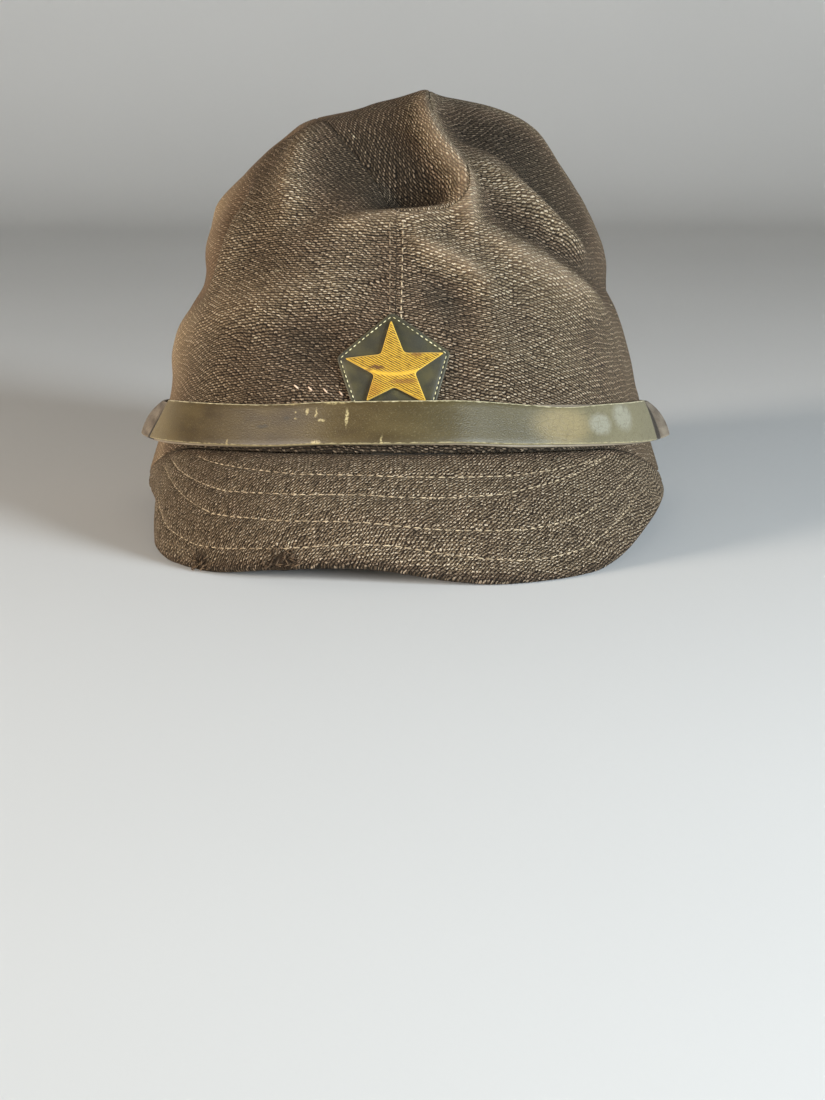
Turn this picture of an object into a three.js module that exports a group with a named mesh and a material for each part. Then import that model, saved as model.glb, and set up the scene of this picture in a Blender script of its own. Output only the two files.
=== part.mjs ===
// Soft wool field cap with a star badge and a leather chin strap, in millimetres.
// The cap is worked out upright with its front towards -y, then leans back as it lies on a table.
import * as THREE from "three";

const WALL = 2.2;
const PIECE_GAP = 0.3;
const STEP = 0.001;
const TINY = 1e-9;
const HALVINGS = 40;
const TRIES = 12;

// Rim of the crown, seen from above
const RIM_HALF_WIDTH = 85.5;
const RIM_FRONT = 100;
const RIM_BACK = 103;
const RIM_ROUNDNESS = 2.15;
const RIM_ARCH = 10;
const ARCH_STARTS = 0.1;
const ARCH_FULL = 0.72;
const CROWN_LEAN = 5;

// Crown sections from the top to the rim, evenly spaced on the pattern
const SECTIONS = [
  { radius: 0.0, height: 124.0 },
  { radius: 0.202, height: 122.5 },
  { radius: 0.389, height: 117.0 },
  { radius: 0.551, height: 107.5 },
  { radius: 0.678, height: 94.0 },
  { radius: 0.772, height: 77.5 },
  { radius: 0.836, height: 59.5 },
  { radius: 0.889, height: 41.0 },
  { radius: 0.926, height: 22.0 },
  { radius: 1.0, height: 0.0 },
];

// Folds on the flat pattern of the crown, whose rim is PATTERN from its middle.
// across is to the right, along is to the back, depth is outwards at each point of the fold.
const PATTERN = 150;
const FOLD_END = 1.2;
const FOLDS = [
  {
    fold: "lip", width: 4.5, across: [-30, -11, 1, 10, 20],
    along: [-80, -80, -79, -77.5, -72], depth: [1, 3.5, 4.5, 4.5, 2.5],
  },
  {
    fold: "pocket", width: 8, across: [-5, 0, 12, 16],
    along: [-67, -69, -68, -66], depth: [-9, -9, -9, -6],
  },
  {
    fold: "pocket_broad", width: 15, across: [-24, -8, 8],
    along: [-52, -60, -58], depth: [-7, -8, -5],
  },
  {
    fold: "ridge_left_top", width: 8, across: [-25, -30, -35, -36],
    along: [-28, -47, -60, -74], depth: [1.5, 4, 4.5, 2],
  },
  {
    fold: "ridge_crisp", width: 4.5, across: [5, 9, 14.5, 20.5, 23, 25],
    along: [-21, -50, -59, -66, -75, -84], depth: [2, 6, 6.5, 6.5, 4, 1.5],
  },
  { fold: "ridge_top", width: 6, across: [5, 5, 6], along: [-21, 0, 24], depth: [2.8, 1.4, 0.5] },
  {
    fold: "top_left", width: 12, across: [-16, -34, -45, -57],
    along: [-4, -9, -12, -15], depth: [-2.5, 0, -3.6, -3],
  },
  {
    fold: "corner_left", width: 8, across: [-66, -72, -78],
    along: [-15, -18, -18], depth: [1.4, 2.6, 1],
  },
  {
    fold: "waist_left_front", width: 8, across: [-97, -103, -109],
    along: [-13, -20, -26], depth: [-0.6, -1.4, -0.5],
  },
  { fold: "hollow_right", width: 8, across: [15, 20, 31], along: [-34, -38, -40], depth: [-5, -5, -3] },
  {
    fold: "valley_upper", width: 11, across: [28, 46, 62, 76],
    along: [-36, -40, -40, -36], depth: [-3.5, -6.5, -6, -3.5],
  },
  { fold: "shoulder", width: 14, across: [20, 46], along: [-6, -18], depth: [2, 3.5] },
  {
    fold: "shoulder_right", width: 13, across: [36, 46, 58, 70, 88],
    along: [-13, -15, -15, -14, -8], depth: [0.7, 0.8, -0.8, -1.3, -1.4],
  },
  {
    fold: "waist_right_front", width: 7, across: [103, 107, 107, 103],
    along: [-26, -8, 14, 34], depth: [-1.5, -4.5, -4.5, -1.5],
  },
  {
    fold: "rim_right", width: 8, across: [123, 126, 124],
    along: [-26, -4, 20], depth: [-1.5, -3, -1.5],
  },
  { fold: "hollow_left", width: 20, across: [-8, -30], along: [-34, -12], depth: [-2.5, -3] },
  {
    fold: "lobe_ridge", width: 6, across: [22, 38, 57, 76],
    along: [-55, -60, -60, -49], depth: [1.5, 2.5, 2.5, 1.5],
  },
  {
    fold: "valley_lower", width: 7, across: [29, 42, 60, 82, 97],
    along: [-70, -71, -66, -51, -20], depth: [-2, -2.5, -2.5, -3, -3],
  },
  { fold: "valley_side", width: 7, across: [97, 98], along: [-20, 20], depth: [-3, -2] },
  {
    fold: "ridge_lower", width: 7, across: [26, 42, 65, 88, 100],
    along: [-79, -80, -74, -57, -34], depth: [2.5, 3.5, 3.5, 1, -2],
  },
  {
    fold: "seam_ridge", width: 5, across: [3, 13, 25, 37],
    along: [-86, -89, -91, -94], depth: [2, 3.5, 3.5, 1.5],
  },
  {
    fold: "seam_hollow", width: 6, across: [10, 22, 32],
    along: [-97, -99, -100], depth: [-1.5, -3, -1.5],
  },
  {
    fold: "badge_ridge", width: 10, across: [36, 40, 41],
    along: [-98, -108, -118], depth: [1.5, 2.5, 1.5],
  },
  { fold: "badge_hollow", width: 10, across: [20, 28], along: [-107, -113], depth: [-1.5, -1.5] },
  {
    fold: "fold_left", width: 6, across: [-56, -63, -69, -78],
    along: [-38, -45, -50, -54], depth: [-3, -7.5, -7.5, -5],
  },
  {
    fold: "fold_left_side", width: 7, across: [-78, -92, -98],
    along: [-54, -36, 10], depth: [-5, -4, -2],
  },
  { fold: "ridge_left", width: 9, across: [-48, -60, -72], along: [-50, -58, -64], depth: [2, 3, 3] },
  {
    fold: "bulge_left", width: 9, across: [-118, -114, -92, -68, -50, -33, -14],
    along: [0, -30, -62, -82, -91, -97, -100], depth: [0, 2, 2, 3.5, 4, 3.5, 1.5],
  },
  {
    fold: "low_hollow", width: 13, across: [-56, -34, -18],
    along: [-101, -110, -114], depth: [-2, -3, -2],
  },
  {
    fold: "waist_right", width: 8, across: [98, 84, 50, 10],
    along: [20, 58, 88, 98], depth: [-2, -3, -3, -1],
  },
  {
    fold: "waist_left", width: 8, across: [-98, -86, -60, -16],
    along: [10, 46, 80, 99], depth: [-2, -3, -3, -1],
  },
  { fold: "dent_back", width: 13, across: [-14, 6], along: [62, 70], depth: [-5, -5] },
  { fold: "sag_right", width: 10, across: [30, 62], along: [60, 44], depth: [-3, -2] },
  { fold: "sag_left", width: 11, across: [-44, -66], along: [58, 28], depth: [-3.5, -2] },
  { fold: "roll_back", width: 10, across: [-40, 0, 44], along: [82, 88, 76], depth: [2, 2, 2] },
];
const FOLDS_START_HEIGHT = 24;
const FOLDS_FULL_HEIGHT = 38;

// Seams of the top panel on the pattern, from the front point to the back one.
// The panels' facets run from there to the rim at rim_angle on either side.
const TOP_SEAM = [
  { rim_angle: 0, left_across: 0, left_along: -79, right_across: 0, right_along: -79 },
  { rim_angle: 8, left_across: -2.5, left_along: -72.5, right_across: 11, right_along: -77.5 },
  { rim_angle: 17, left_across: -6, left_along: -64.5, right_across: 20.5, right_along: -71.5 },
  { rim_angle: 28, left_across: -10.5, left_along: -55.5, right_across: 18.5, right_along: -60 },
  { rim_angle: 40, left_across: -16, left_along: -46, right_across: 12.5, right_along: -51 },
  { rim_angle: 54, left_across: -22, left_along: -33, right_across: 8.5, right_along: -39 },
  { rim_angle: 70, left_across: -27, left_along: -18, right_across: 7, right_along: -22 },
  { rim_angle: 88, left_across: -30, left_along: 0, right_across: 8.5, right_along: 0 },
  { rim_angle: 106, left_across: -28.5, left_along: 18, right_across: 16, right_along: 20 },
  { rim_angle: 124, left_across: -22.5, left_along: 35, right_across: 19, right_along: 36 },
  { rim_angle: 143, left_across: -13.5, left_along: 52, right_across: 13.5, right_along: 52 },
  { rim_angle: 162, left_across: -5, left_along: 67.5, right_across: 5, right_along: 67.5 },
  { rim_angle: 180, left_across: 0, left_along: 79, right_across: 0, right_along: 79 },
];
const POINT_CLEARANCE = 3;

// Facets of the crown
const CROWN_COLUMNS = 40;
const CROWN_ROWS = 19;
const TOP_COLUMNS = 8;

// Peak: its outer edge from end to end, and the rim angle that each place of it grows from
const PEAK_THICKNESS = 2.6;
const PEAK_BULGE = 4;
const PEAK_COLUMNS = 34;
const PEAK_ROWS = 7;
const PEAK_EDGE = [
  { rim_angle: -82, side: -85.0, back: -15, height: -6.0 },
  { rim_angle: -75, side: -82.0, back: -30, height: -7.0 },
  { rim_angle: -67, side: -78.5, back: -47, height: -10.0 },
  { rim_angle: -59, side: -76.5, back: -68, height: -15.0 },
  { rim_angle: -51, side: -74.0, back: -86, height: -20.0 },
  { rim_angle: -42, side: -66.5, back: -103, height: -23.2 },
  { rim_angle: -31, side: -52.0, back: -120, height: -24.0 },
  { rim_angle: -17, side: -29.0, back: -134, height: -21.6 },
  { rim_angle: -2, side: -5.0, back: -138, height: -21.2 },
  { rim_angle: 11, side: 18.0, back: -137, height: -24.6 },
  { rim_angle: 22, side: 38.0, back: -132, height: -26.0 },
  { rim_angle: 33, side: 56.0, back: -120, height: -25.2 },
  { rim_angle: 44, side: 69.0, back: -102, height: -20.6 },
  { rim_angle: 56, side: 79.0, back: -75, height: -12.5 },
  { rim_angle: 69, side: 84.5, back: -46, height: -7.5 },
  { rim_angle: 82, side: 87.0, back: -15, height: -6.0 },
];

// Chin strap, its height above the rim and the angles it covers from the front
const STRAP_WIDTH = 12.6;
const STRAP_HEIGHT = 17;
const STRAP_DROOP = 0.8;
const OUTER_THICKNESS = 1.5;
const UNDER_THICKNESS = 1.2;
const OUTER_FROM = -69;
const OUTER_TO = 70;
const OUTER_SLANT = 8;
const UNDER_END = 122;
const OUTER_COLUMNS = 44;
const UNDER_COLUMNS = 66;
const STRAP_ROWS = 3;
const LOOP_STANDS_OFF = 5.5;
const LOOP_ANGLE = 89;
const LOOP_SPREAD = 15;
const LOOP_LEAN = 0.85;
const LOOP_CURVE = 2.5;
const BADGE_CLEARS_FROM = 17;
const BADGE_CLEARS_TO = 40;

// Badge on the front, side and height of its middle
const BADGE_SIDE = -0.4;
const BADGE_HEIGHT = 33.4;
const PATCH_RADIUS = 18.4;
const PATCH_TURN = 0.006;
const STAR_CORNERS = [
  { corner: "top", side: -0.8, height: 15.8 },
  { corner: "upper_left", side: -3.7, height: 5.4 },
  { corner: "left", side: -14.9, height: 4.4 },
  { corner: "lower_left", side: -5.7, height: -0.7 },
  { corner: "left_leg", side: -8.0, height: -8.9 },
  { corner: "notch", side: 0.4, height: -4.5 },
  { corner: "right_leg", side: 10.2, height: -9.7 },
  { corner: "lower_right", side: 6.5, height: -0.1 },
  { corner: "right", side: 15.3, height: 6.0 },
  { corner: "upper_right", side: 3.2, height: 5.8 },
];
const BADGE_THICKNESS = 1;
const PATCH_SIDES = 5;
const PATCH_EDGE_FACETS = 5;
const STAR_EDGE_FACETS = 3;
const BADGE_RINGS = 3;

// Side buttons that hold the ends of the strap
const BUTTON_RADIUS = 5.6;
const BUTTON_HEIGHT = 3.4;
const BUTTON_ANGLE = 115.5;
const BUTTON_FACETS = 20;
const BUTTON_PROFILE = [
  { radius: 0, height: 0 },
  { radius: 0.8, height: 0 },
  { radius: 1, height: 0.3 },
  { radius: 0.92, height: 0.62 },
  { radius: 0.6, height: 0.9 },
  { radius: 0, height: 1 },
];

// How the cap lies: leaning back on its rear rim and the lower edge of its peak
const REST_TILT = THREE.MathUtils.degToRad(6.6);
const REST_LIFT = 11.3;
const REST_SHIFT = 18.75;

const WOOL = { color: 0x75614b, roughness: 0.95, metalness: 0 };
const FELT = { color: 0x5d5b45, roughness: 0.9, metalness: 0 };
const GOLD_CLOTH = { color: 0xd3ab40, roughness: 0.7, metalness: 0 };
const OLIVE_LEATHER = { color: 0x6f6142, roughness: 0.5, metalness: 0 };
const BROWN_LEATHER = { color: 0x6b6152, roughness: 0.6, metalness: 0 };
const BUTTON_PAINT = { color: 0x4a4030, roughness: 0.5, metalness: 0.2 };

const vector = (x, y, z) => new THREE.Vector3(x, y, z);
const toRadians = THREE.MathUtils.degToRad;
const ease = THREE.MathUtils.smoothstep;

// Value of a column of evenly spaced rows, t from 0 to 1, as a smooth curve
function columnAt(rows, column, t, before) {
  const last = rows.length - 1;
  const place = THREE.MathUtils.clamp(t, 0, 1) * last;
  const index = Math.min(Math.floor(place), last - 1);
  const w = place - index;
  const p1 = rows[index][column];
  const p2 = rows[index + 1][column];
  const p0 = index > 0 ? rows[index - 1][column] : before ?? p1;
  const p3 = index < last - 1 ? rows[index + 2][column] : p2;
  const v0 = (p2 - p0) / 2;
  const v1 = (p3 - p1) / 2;
  return (2 * p1 - 2 * p2 + v0 + v1) * w ** 3 + (3 * (p2 - p1) - 2 * v0 - v1) * w ** 2 + v0 * w + p1;
}

// Crown without folds, at a place of the pattern (shares of PATTERN)
function plainCrown(across, along) {
  const share = Math.max(Math.hypot(across, along), TINY);
  const side = across / share;
  const back = along / share;
  const depth = back < 0 ? RIM_FRONT : RIM_BACK;
  const wide = Math.abs(side / RIM_HALF_WIDTH) ** RIM_ROUNDNESS;
  const deep = Math.abs(back / depth) ** RIM_ROUNDNESS;
  const reach = (wide + deep) ** (-1 / RIM_ROUNDNESS);
  const top = SECTIONS[1];
  const radius = columnAt(SECTIONS, "radius", share, -top.radius) * reach;
  const height = columnAt(SECTIONS, "height", share, top.height);
  const lean = (CROWN_LEAN * height) / SECTIONS[0].height;
  return vector(radius * side, radius * back + lean, height);
}

function crownNormal(across, along) {
  const right = plainCrown(across + STEP, along).sub(plainCrown(across - STEP, along));
  const rear = plainCrown(across, along + STEP).sub(plainCrown(across, along - STEP));
  return right.cross(rear).normalize();
}

// How far the folds push the cloth outwards
function foldPush(across, along) {
  const x = across * PATTERN;
  const y = along * PATTERN;
  let total = 0;
  for (const { width, across: xs, along: ys, depth } of FOLDS) {
    for (let i = 0; i + 1 < xs.length; i++) {
      const length = Math.hypot(xs[i + 1] - xs[i], ys[i + 1] - ys[i]);
      const ux = (xs[i + 1] - xs[i]) / length;
      const uy = (ys[i + 1] - ys[i]) / length;
      const t = (x - xs[i]) * ux + (y - ys[i]) * uy;
      const off = (x - xs[i]) * uy - (y - ys[i]) * ux;
      const k = FOLD_END / width;
      const ends = (Math.tanh(k * t) + Math.tanh(k * (length - t))) / 2;
      const deep = THREE.MathUtils.lerp(depth[i], depth[i + 1], THREE.MathUtils.clamp(t / length, 0, 1));
      total += deep * ends * Math.exp(-((off / width) ** 2));
    }
  }
  return total;
}

// Place on the folded crown, a distance outwards from its cloth
function crownAt(across, along, outwards = 0) {
  const place = plainCrown(across, along);
  const folded = ease(place.z, FOLDS_START_HEIGHT, FOLDS_FULL_HEIGHT);
  return place.addScaledVector(crownNormal(across, along), foldPush(across, along) * folded + outwards);
}

// Share of the pattern where the crown has a height, straight below the top panel
function shareAtHeight(height) {
  let low = 0;
  let high = 1;
  for (let i = 0; i < HALVINGS; i++) {
    const middle = (low + high) / 2;
    if (columnAt(SECTIONS, "height", middle, SECTIONS[1].height) > height) low = middle;
    else high = middle;
  }
  return (low + high) / 2;
}

// Place on the pattern, its angle taken from the front
function onPattern(share, angle) {
  return [share * Math.sin(toRadians(angle)), -share * Math.cos(toRadians(angle))];
}

// Share of the pattern where the rim lies, arched up above the peak
function rimShare(angle) {
  return shareAtHeight(RIM_ARCH * ease(Math.cos(toRadians(angle)), ARCH_STARTS, ARCH_FULL));
}

// Place of a top seam on the pattern, moved inwards over the top panel
function seamAt(side, round, inwards) {
  const name = side < 0 ? "left" : "right";
  const place = (t) => [columnAt(TOP_SEAM, `${name}_across`, t), columnAt(TOP_SEAM, `${name}_along`, t)];
  const [across, along] = place(round);
  if (round === 0 || round === 1) {
    const clear = Math.sign(along) * Math.max(0, inwards) * POINT_CLEARANCE;
    return [across / PATTERN, (along - clear) / PATTERN];
  }
  const [beforeX, beforeY] = place(round - STEP);
  const [afterX, afterY] = place(round + STEP);
  const length = Math.hypot(afterX - beforeX, afterY - beforeY);
  const move = (-side * inwards) / length;
  return [(across + move * (afterY - beforeY)) / PATTERN, (along - move * (afterX - beforeX)) / PATTERN];
}

// The lowest cloth is pressed flat where it lies
function pressed(place) {
  const height = place.z * Math.cos(REST_TILT) - place.y * Math.sin(REST_TILT) + REST_LIFT;
  if (height >= 0) return place;
  return place.addScaledVector(vector(0, -Math.sin(REST_TILT), Math.cos(REST_TILT)), -height);
}

// Closed solid from its triangles, faces outwards
function solidOf(triangles) {
  const kept = triangles.filter(([a, b, c]) => {
    const wide = b.clone().sub(a).cross(c.clone().sub(a)).length();
    return wide > TINY;
  });
  const volume = kept.reduce((sum, [a, b, c]) => sum + a.dot(b.clone().cross(c)), 0);
  const corners = kept.flatMap(([a, b, c]) => (volume > 0 ? [a, b, c] : [a, c, b]));
  return new THREE.BufferGeometry().setFromPoints(corners);
}

// Closed solid between two grids of the same size
function sheetSolid(front, behind) {
  const rows = front.length - 1;
  const columns = front[0].length - 1;
  const triangles = [];
  const quad = (a, b, c, d) => triangles.push([a, b, c], [a, c, d]);
  for (let i = 0; i < rows; i++) {
    for (let j = 0; j < columns; j++) {
      quad(front[i][j], front[i][j + 1], front[i + 1][j + 1], front[i + 1][j]);
      quad(behind[i][j], behind[i + 1][j], behind[i + 1][j + 1], behind[i][j + 1]);
    }
    quad(front[i][0], front[i + 1][0], behind[i + 1][0], behind[i][0]);
    quad(front[i + 1][columns], front[i][columns], behind[i][columns], behind[i + 1][columns]);
  }
  for (let j = 0; j < columns; j++) {
    quad(front[0][j + 1], front[0][j], behind[0][j], behind[0][j + 1]);
    quad(front[rows][j], front[rows][j + 1], behind[rows][j + 1], behind[rows][j]);
  }
  return solidOf(triangles);
}

// Grid of places, each from its shares of the rows and columns
function gridOf(rows, columns, place) {
  const line = (i) => Array.from({ length: columns + 1 }, (_, j) => place(i / rows, j / columns));
  return Array.from({ length: rows + 1 }, (_, i) => line(i));
}

// Side panel from the top seam to the rim and from the front seam to the back seam
function sidePanel(side) {
  const place = (outwards) => (down, round) => {
    const angle = side * columnAt(TOP_SEAM, "rim_angle", round);
    const [seamAcross, seamAlong] = seamAt(side, round, -PIECE_GAP / 2);
    const [rimAcross, rimAlong] = onPattern(rimShare(angle), angle);
    const across = THREE.MathUtils.lerp(seamAcross, rimAcross, down);
    const along = THREE.MathUtils.lerp(seamAlong, rimAlong, down);
    const at = crownAt(across, along, outwards);
    if (round === 0 || round === 1) at.x = (side * PIECE_GAP) / 2;
    return pressed(at);
  };
  const face = (outwards) => gridOf(CROWN_ROWS, CROWN_COLUMNS, place(outwards));
  return sheetSolid(face(0), face(-WALL));
}

function topPanel() {
  const place = (outwards) => (round, sideways) => {
    const [leftAcross, leftAlong] = seamAt(-1, round, PIECE_GAP / 2);
    const [rightAcross, rightAlong] = seamAt(1, round, PIECE_GAP / 2);
    const across = THREE.MathUtils.lerp(leftAcross, rightAcross, sideways);
    const along = THREE.MathUtils.lerp(leftAlong, rightAlong, sideways);
    return crownAt(across, along, outwards);
  };
  const face = (outwards) => gridOf(CROWN_COLUMNS, TOP_COLUMNS, place(outwards));
  return sheetSolid(face(0), face(-WALL));
}

// Upper face of the peak: tucked flat under the rim, then sloping out to its edge
function peakAt(round, out) {
  const angle = columnAt(PEAK_EDGE, "rim_angle", round);
  const [across, along] = onPattern(rimShare(angle), angle);
  const tucked = crownAt(across, along, -WALL);
  const joint = crownAt(across, along, PIECE_GAP);
  tucked.z -= PIECE_GAP;
  joint.z = tucked.z;
  if (out < 0) return tucked;
  const edge = vector(
    columnAt(PEAK_EDGE, "side", round),
    columnAt(PEAK_EDGE, "back", round),
    columnAt(PEAK_EDGE, "height", round),
  );
  const slope = edge.clone().sub(joint);
  const tangent = vector(-joint.y, joint.x, 0).normalize();
  const rise = slope.clone().cross(tangent).normalize();
  const bulge = PEAK_BULGE * Math.sin(Math.PI * round) ** 2;
  return joint.addScaledVector(slope, out).addScaledVector(rise, bulge * 4 * out * (1 - out));
}

function peakSolid() {
  const row = (share) => (share === 0 ? -1 : (share * PEAK_ROWS - 1) / (PEAK_ROWS - 1));
  const upper = gridOf(PEAK_COLUMNS, PEAK_ROWS, (round, share) => peakAt(round, row(share)));
  const lower = upper.map((line, i) =>
    line.map((place, j) => {
      const round = i / PEAK_COLUMNS;
      const out = Math.max(0, row(j / PEAK_ROWS));
      const along = peakAt(Math.min(1, round + STEP), out).sub(peakAt(Math.max(0, round - STEP), out));
      const outwards = peakAt(round, Math.min(1, out + STEP)).sub(peakAt(round, Math.max(0, out - STEP)));
      const down = along.cross(outwards).normalize();
      const thick = j === 0 ? vector(0, 0, -1) : down;
      return place.clone().addScaledVector(thick, PEAK_THICKNESS);
    }),
  );
  return sheetSolid(upper.map((line) => line.map(pressed)), lower.map((line) => line.map(pressed)));
}

// How far the inner face of the under strap stands off the crown; its loops curve in at the top
function strapStandsOff(angle, height) {
  const [across, along] = onPattern(shareAtHeight(STRAP_HEIGHT), angle);
  const fromMiddle = Math.abs(plainCrown(across, along).x - BADGE_SIDE);
  const overBadge = along < 0 ? 1 - ease(fromMiddle, BADGE_CLEARS_FROM, BADGE_CLEARS_TO) : 0;
  const badge = overBadge * 2 * (BADGE_THICKNESS + PIECE_GAP);
  const loop = LOOP_STANDS_OFF * Math.exp(-(((Math.abs(angle) - LOOP_ANGLE) / LOOP_SPREAD) ** 2));
  return PIECE_GAP + badge + loop * (1 - LOOP_LEAN * ((height + 1) / 2) ** LOOP_CURVE);
}

// Place on the strap: height is -1 at its lower edge and 1 at its upper edge
function strapAt(angle, height, outwards) {
  const middle = STRAP_HEIGHT - STRAP_DROOP * (1 - Math.cos(toRadians(angle)));
  const low = onPattern(shareAtHeight(middle - STRAP_WIDTH / 2), angle);
  const high = onPattern(shareAtHeight(middle + STRAP_WIDTH / 2), angle);
  const bottom = plainCrown(...low);
  const top = plainCrown(...high);
  const normal = crownNormal(...onPattern(shareAtHeight(middle), angle));
  const place = bottom.lerp(top, (height + 1) / 2);
  return place.addScaledVector(normal, strapStandsOff(angle, height) + outwards);
}

// Strap between two angles, its first end slanted by some degrees from its lower to its upper edge
function strapSolid(from, to, slant, columns, inner, thickness) {
  const angle = (round, up) => Math.max(from + slant * up, THREE.MathUtils.lerp(from, to, round));
  const face = (outwards) =>
    gridOf(columns, STRAP_ROWS, (round, up) => strapAt(angle(round, up), 2 * up - 1, outwards));
  return sheetSolid(face(inner + thickness), face(inner));
}

// Place on the front of the crown at a side and a height
function frontAt(side, height, outwards) {
  const share = shareAtHeight(height);
  let angle = 0;
  for (let i = 0; i < TRIES; i++) {
    const reach = plainCrown(...onPattern(share, angle + 1)).x - plainCrown(...onPattern(share, angle)).x;
    angle += (side - plainCrown(...onPattern(share, angle)).x) / reach;
  }
  return crownAt(...onPattern(share, angle), outwards);
}

// Flat figure laid on the front of the crown, from its outline round the badge's middle
function badgeSolid(outline, facets, inner) {
  const rim = outline.flatMap((point, i) => {
    const next = outline[(i + 1) % outline.length];
    return Array.from({ length: facets }, (_, k) => point.clone().lerp(next, k / facets));
  });
  const face = (outwards) =>
    gridOf(BADGE_RINGS, rim.length, (out, round) => {
      const point = rim[Math.round(round * rim.length) % rim.length];
      return frontAt(BADGE_SIDE + point.x * out, BADGE_HEIGHT + point.y * out, outwards);
    });
  const front = face(inner + BADGE_THICKNESS);
  const behind = face(inner);
  const triangles = [];
  const quad = (a, b, c, d) => triangles.push([a, b, c], [a, c, d]);
  for (let j = 0; j < rim.length; j++) {
    for (let i = 0; i < BADGE_RINGS; i++) {
      quad(front[i][j], front[i + 1][j], front[i + 1][j + 1], front[i][j + 1]);
      quad(behind[i][j], behind[i][j + 1], behind[i + 1][j + 1], behind[i + 1][j]);
    }
    const [a, b] = [front[BADGE_RINGS][j], front[BADGE_RINGS][j + 1]];
    const [c, d] = [behind[BADGE_RINGS][j + 1], behind[BADGE_RINGS][j]];
    quad(a, d, c, b);
  }
  return solidOf(triangles);
}

// Point on a circle, a share of a turn from its top
function onCircle(radius, turn) {
  const angle = 2 * Math.PI * turn;
  return new THREE.Vector2(-radius * Math.sin(angle), radius * Math.cos(angle));
}

const patchCorner = (i) => onCircle(PATCH_RADIUS, i / PATCH_SIDES + PATCH_TURN);
const pentagon = Array.from({ length: PATCH_SIDES }, (_, i) => patchCorner(i));
const star = STAR_CORNERS.map(({ side, height }) => new THREE.Vector2(side, height));

// Domed button seated on the end of the strap
function buttonSolid(side) {
  const profile = BUTTON_PROFILE.map(
    ({ radius, height }) => new THREE.Vector2(radius * BUTTON_RADIUS, height * BUTTON_HEIGHT),
  );
  const button = new THREE.LatheGeometry(profile, BUTTON_FACETS);
  const angle = side * BUTTON_ANGLE;
  const seat = strapAt(angle, 0, UNDER_THICKNESS + PIECE_GAP);
  const outwards = seat.clone().sub(strapAt(angle, 0, 0)).normalize();
  button.applyQuaternion(new THREE.Quaternion().setFromUnitVectors(vector(0, 1, 0), outwards));
  return button.translate(seat.x, seat.y, seat.z);
}

const group = new THREE.Group();
group.rotation.x = -REST_TILT;
group.position.set(0, REST_SHIFT, REST_LIFT);

function add(name, geometry, finish) {
  const mesh = new THREE.Mesh(geometry, new THREE.MeshStandardMaterial(finish));
  mesh.name = name;
  group.add(mesh);
}

add("crown_left", sidePanel(-1), WOOL);
add("crown_right", sidePanel(1), WOOL);
add("crown_top", topPanel(), WOOL);
add("peak", peakSolid(), WOOL);
add("badge_patch", badgeSolid(pentagon, PATCH_EDGE_FACETS, PIECE_GAP), FELT);
add("badge_star", badgeSolid(star, STAR_EDGE_FACETS, BADGE_THICKNESS + 2 * PIECE_GAP), GOLD_CLOTH);
add("strap_under", strapSolid(-UNDER_END, UNDER_END, 0, UNDER_COLUMNS, 0, UNDER_THICKNESS), BROWN_LEATHER);
const overUnder = UNDER_THICKNESS + PIECE_GAP;
const outer = strapSolid(OUTER_FROM, OUTER_TO, OUTER_SLANT, OUTER_COLUMNS, overUnder, OUTER_THICKNESS);
add("strap_outer", outer, OLIVE_LEATHER);
add("button_left", buttonSolid(-1), BUTTON_PAINT);
add("button_right", buttonSolid(1), BUTTON_PAINT);

export default group;
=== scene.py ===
"""Looks of a soft wool field cap: woven cloth panels, stitched peak, star badge and leather chin strap."""
import math

import bmesh
import bpy
import numpy as np
from mathutils import Matrix


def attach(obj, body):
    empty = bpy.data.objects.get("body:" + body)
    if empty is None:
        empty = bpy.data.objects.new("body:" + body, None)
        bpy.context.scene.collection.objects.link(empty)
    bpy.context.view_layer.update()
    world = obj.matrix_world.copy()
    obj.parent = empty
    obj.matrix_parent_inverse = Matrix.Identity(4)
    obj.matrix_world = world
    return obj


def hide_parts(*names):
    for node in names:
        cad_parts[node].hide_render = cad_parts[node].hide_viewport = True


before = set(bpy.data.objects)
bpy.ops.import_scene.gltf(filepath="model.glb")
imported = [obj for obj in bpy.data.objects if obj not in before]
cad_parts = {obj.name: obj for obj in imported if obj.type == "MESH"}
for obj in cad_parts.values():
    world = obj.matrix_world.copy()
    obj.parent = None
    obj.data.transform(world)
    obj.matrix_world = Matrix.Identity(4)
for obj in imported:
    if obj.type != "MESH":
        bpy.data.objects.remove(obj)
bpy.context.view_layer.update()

# Crown, in millimetres, upright with its front towards -y
WALL = 2.2
STEP = 0.001
TINY = 1e-9
RIM_HALF_WIDTH = 85.5
RIM_FRONT = 100
RIM_BACK = 103
RIM_ROUNDNESS = 2.15
RIM_ARCH = 10
ARCH_STARTS = 0.1
ARCH_FULL = 0.72
CROWN_LEAN = 5
SECTION_RADIUS = [0.0, 0.202, 0.389, 0.551, 0.678, 0.772, 0.836, 0.889, 0.926, 1.0]
SECTION_HEIGHT = [124.0, 122.5, 117.0, 107.5, 94.0, 77.5, 59.5, 41.0, 22.0, 0.0]
PATTERN = 150
FOLD_END = 1.2
FOLDS_START_HEIGHT = 24
FOLDS_FULL_HEIGHT = 38

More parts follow.
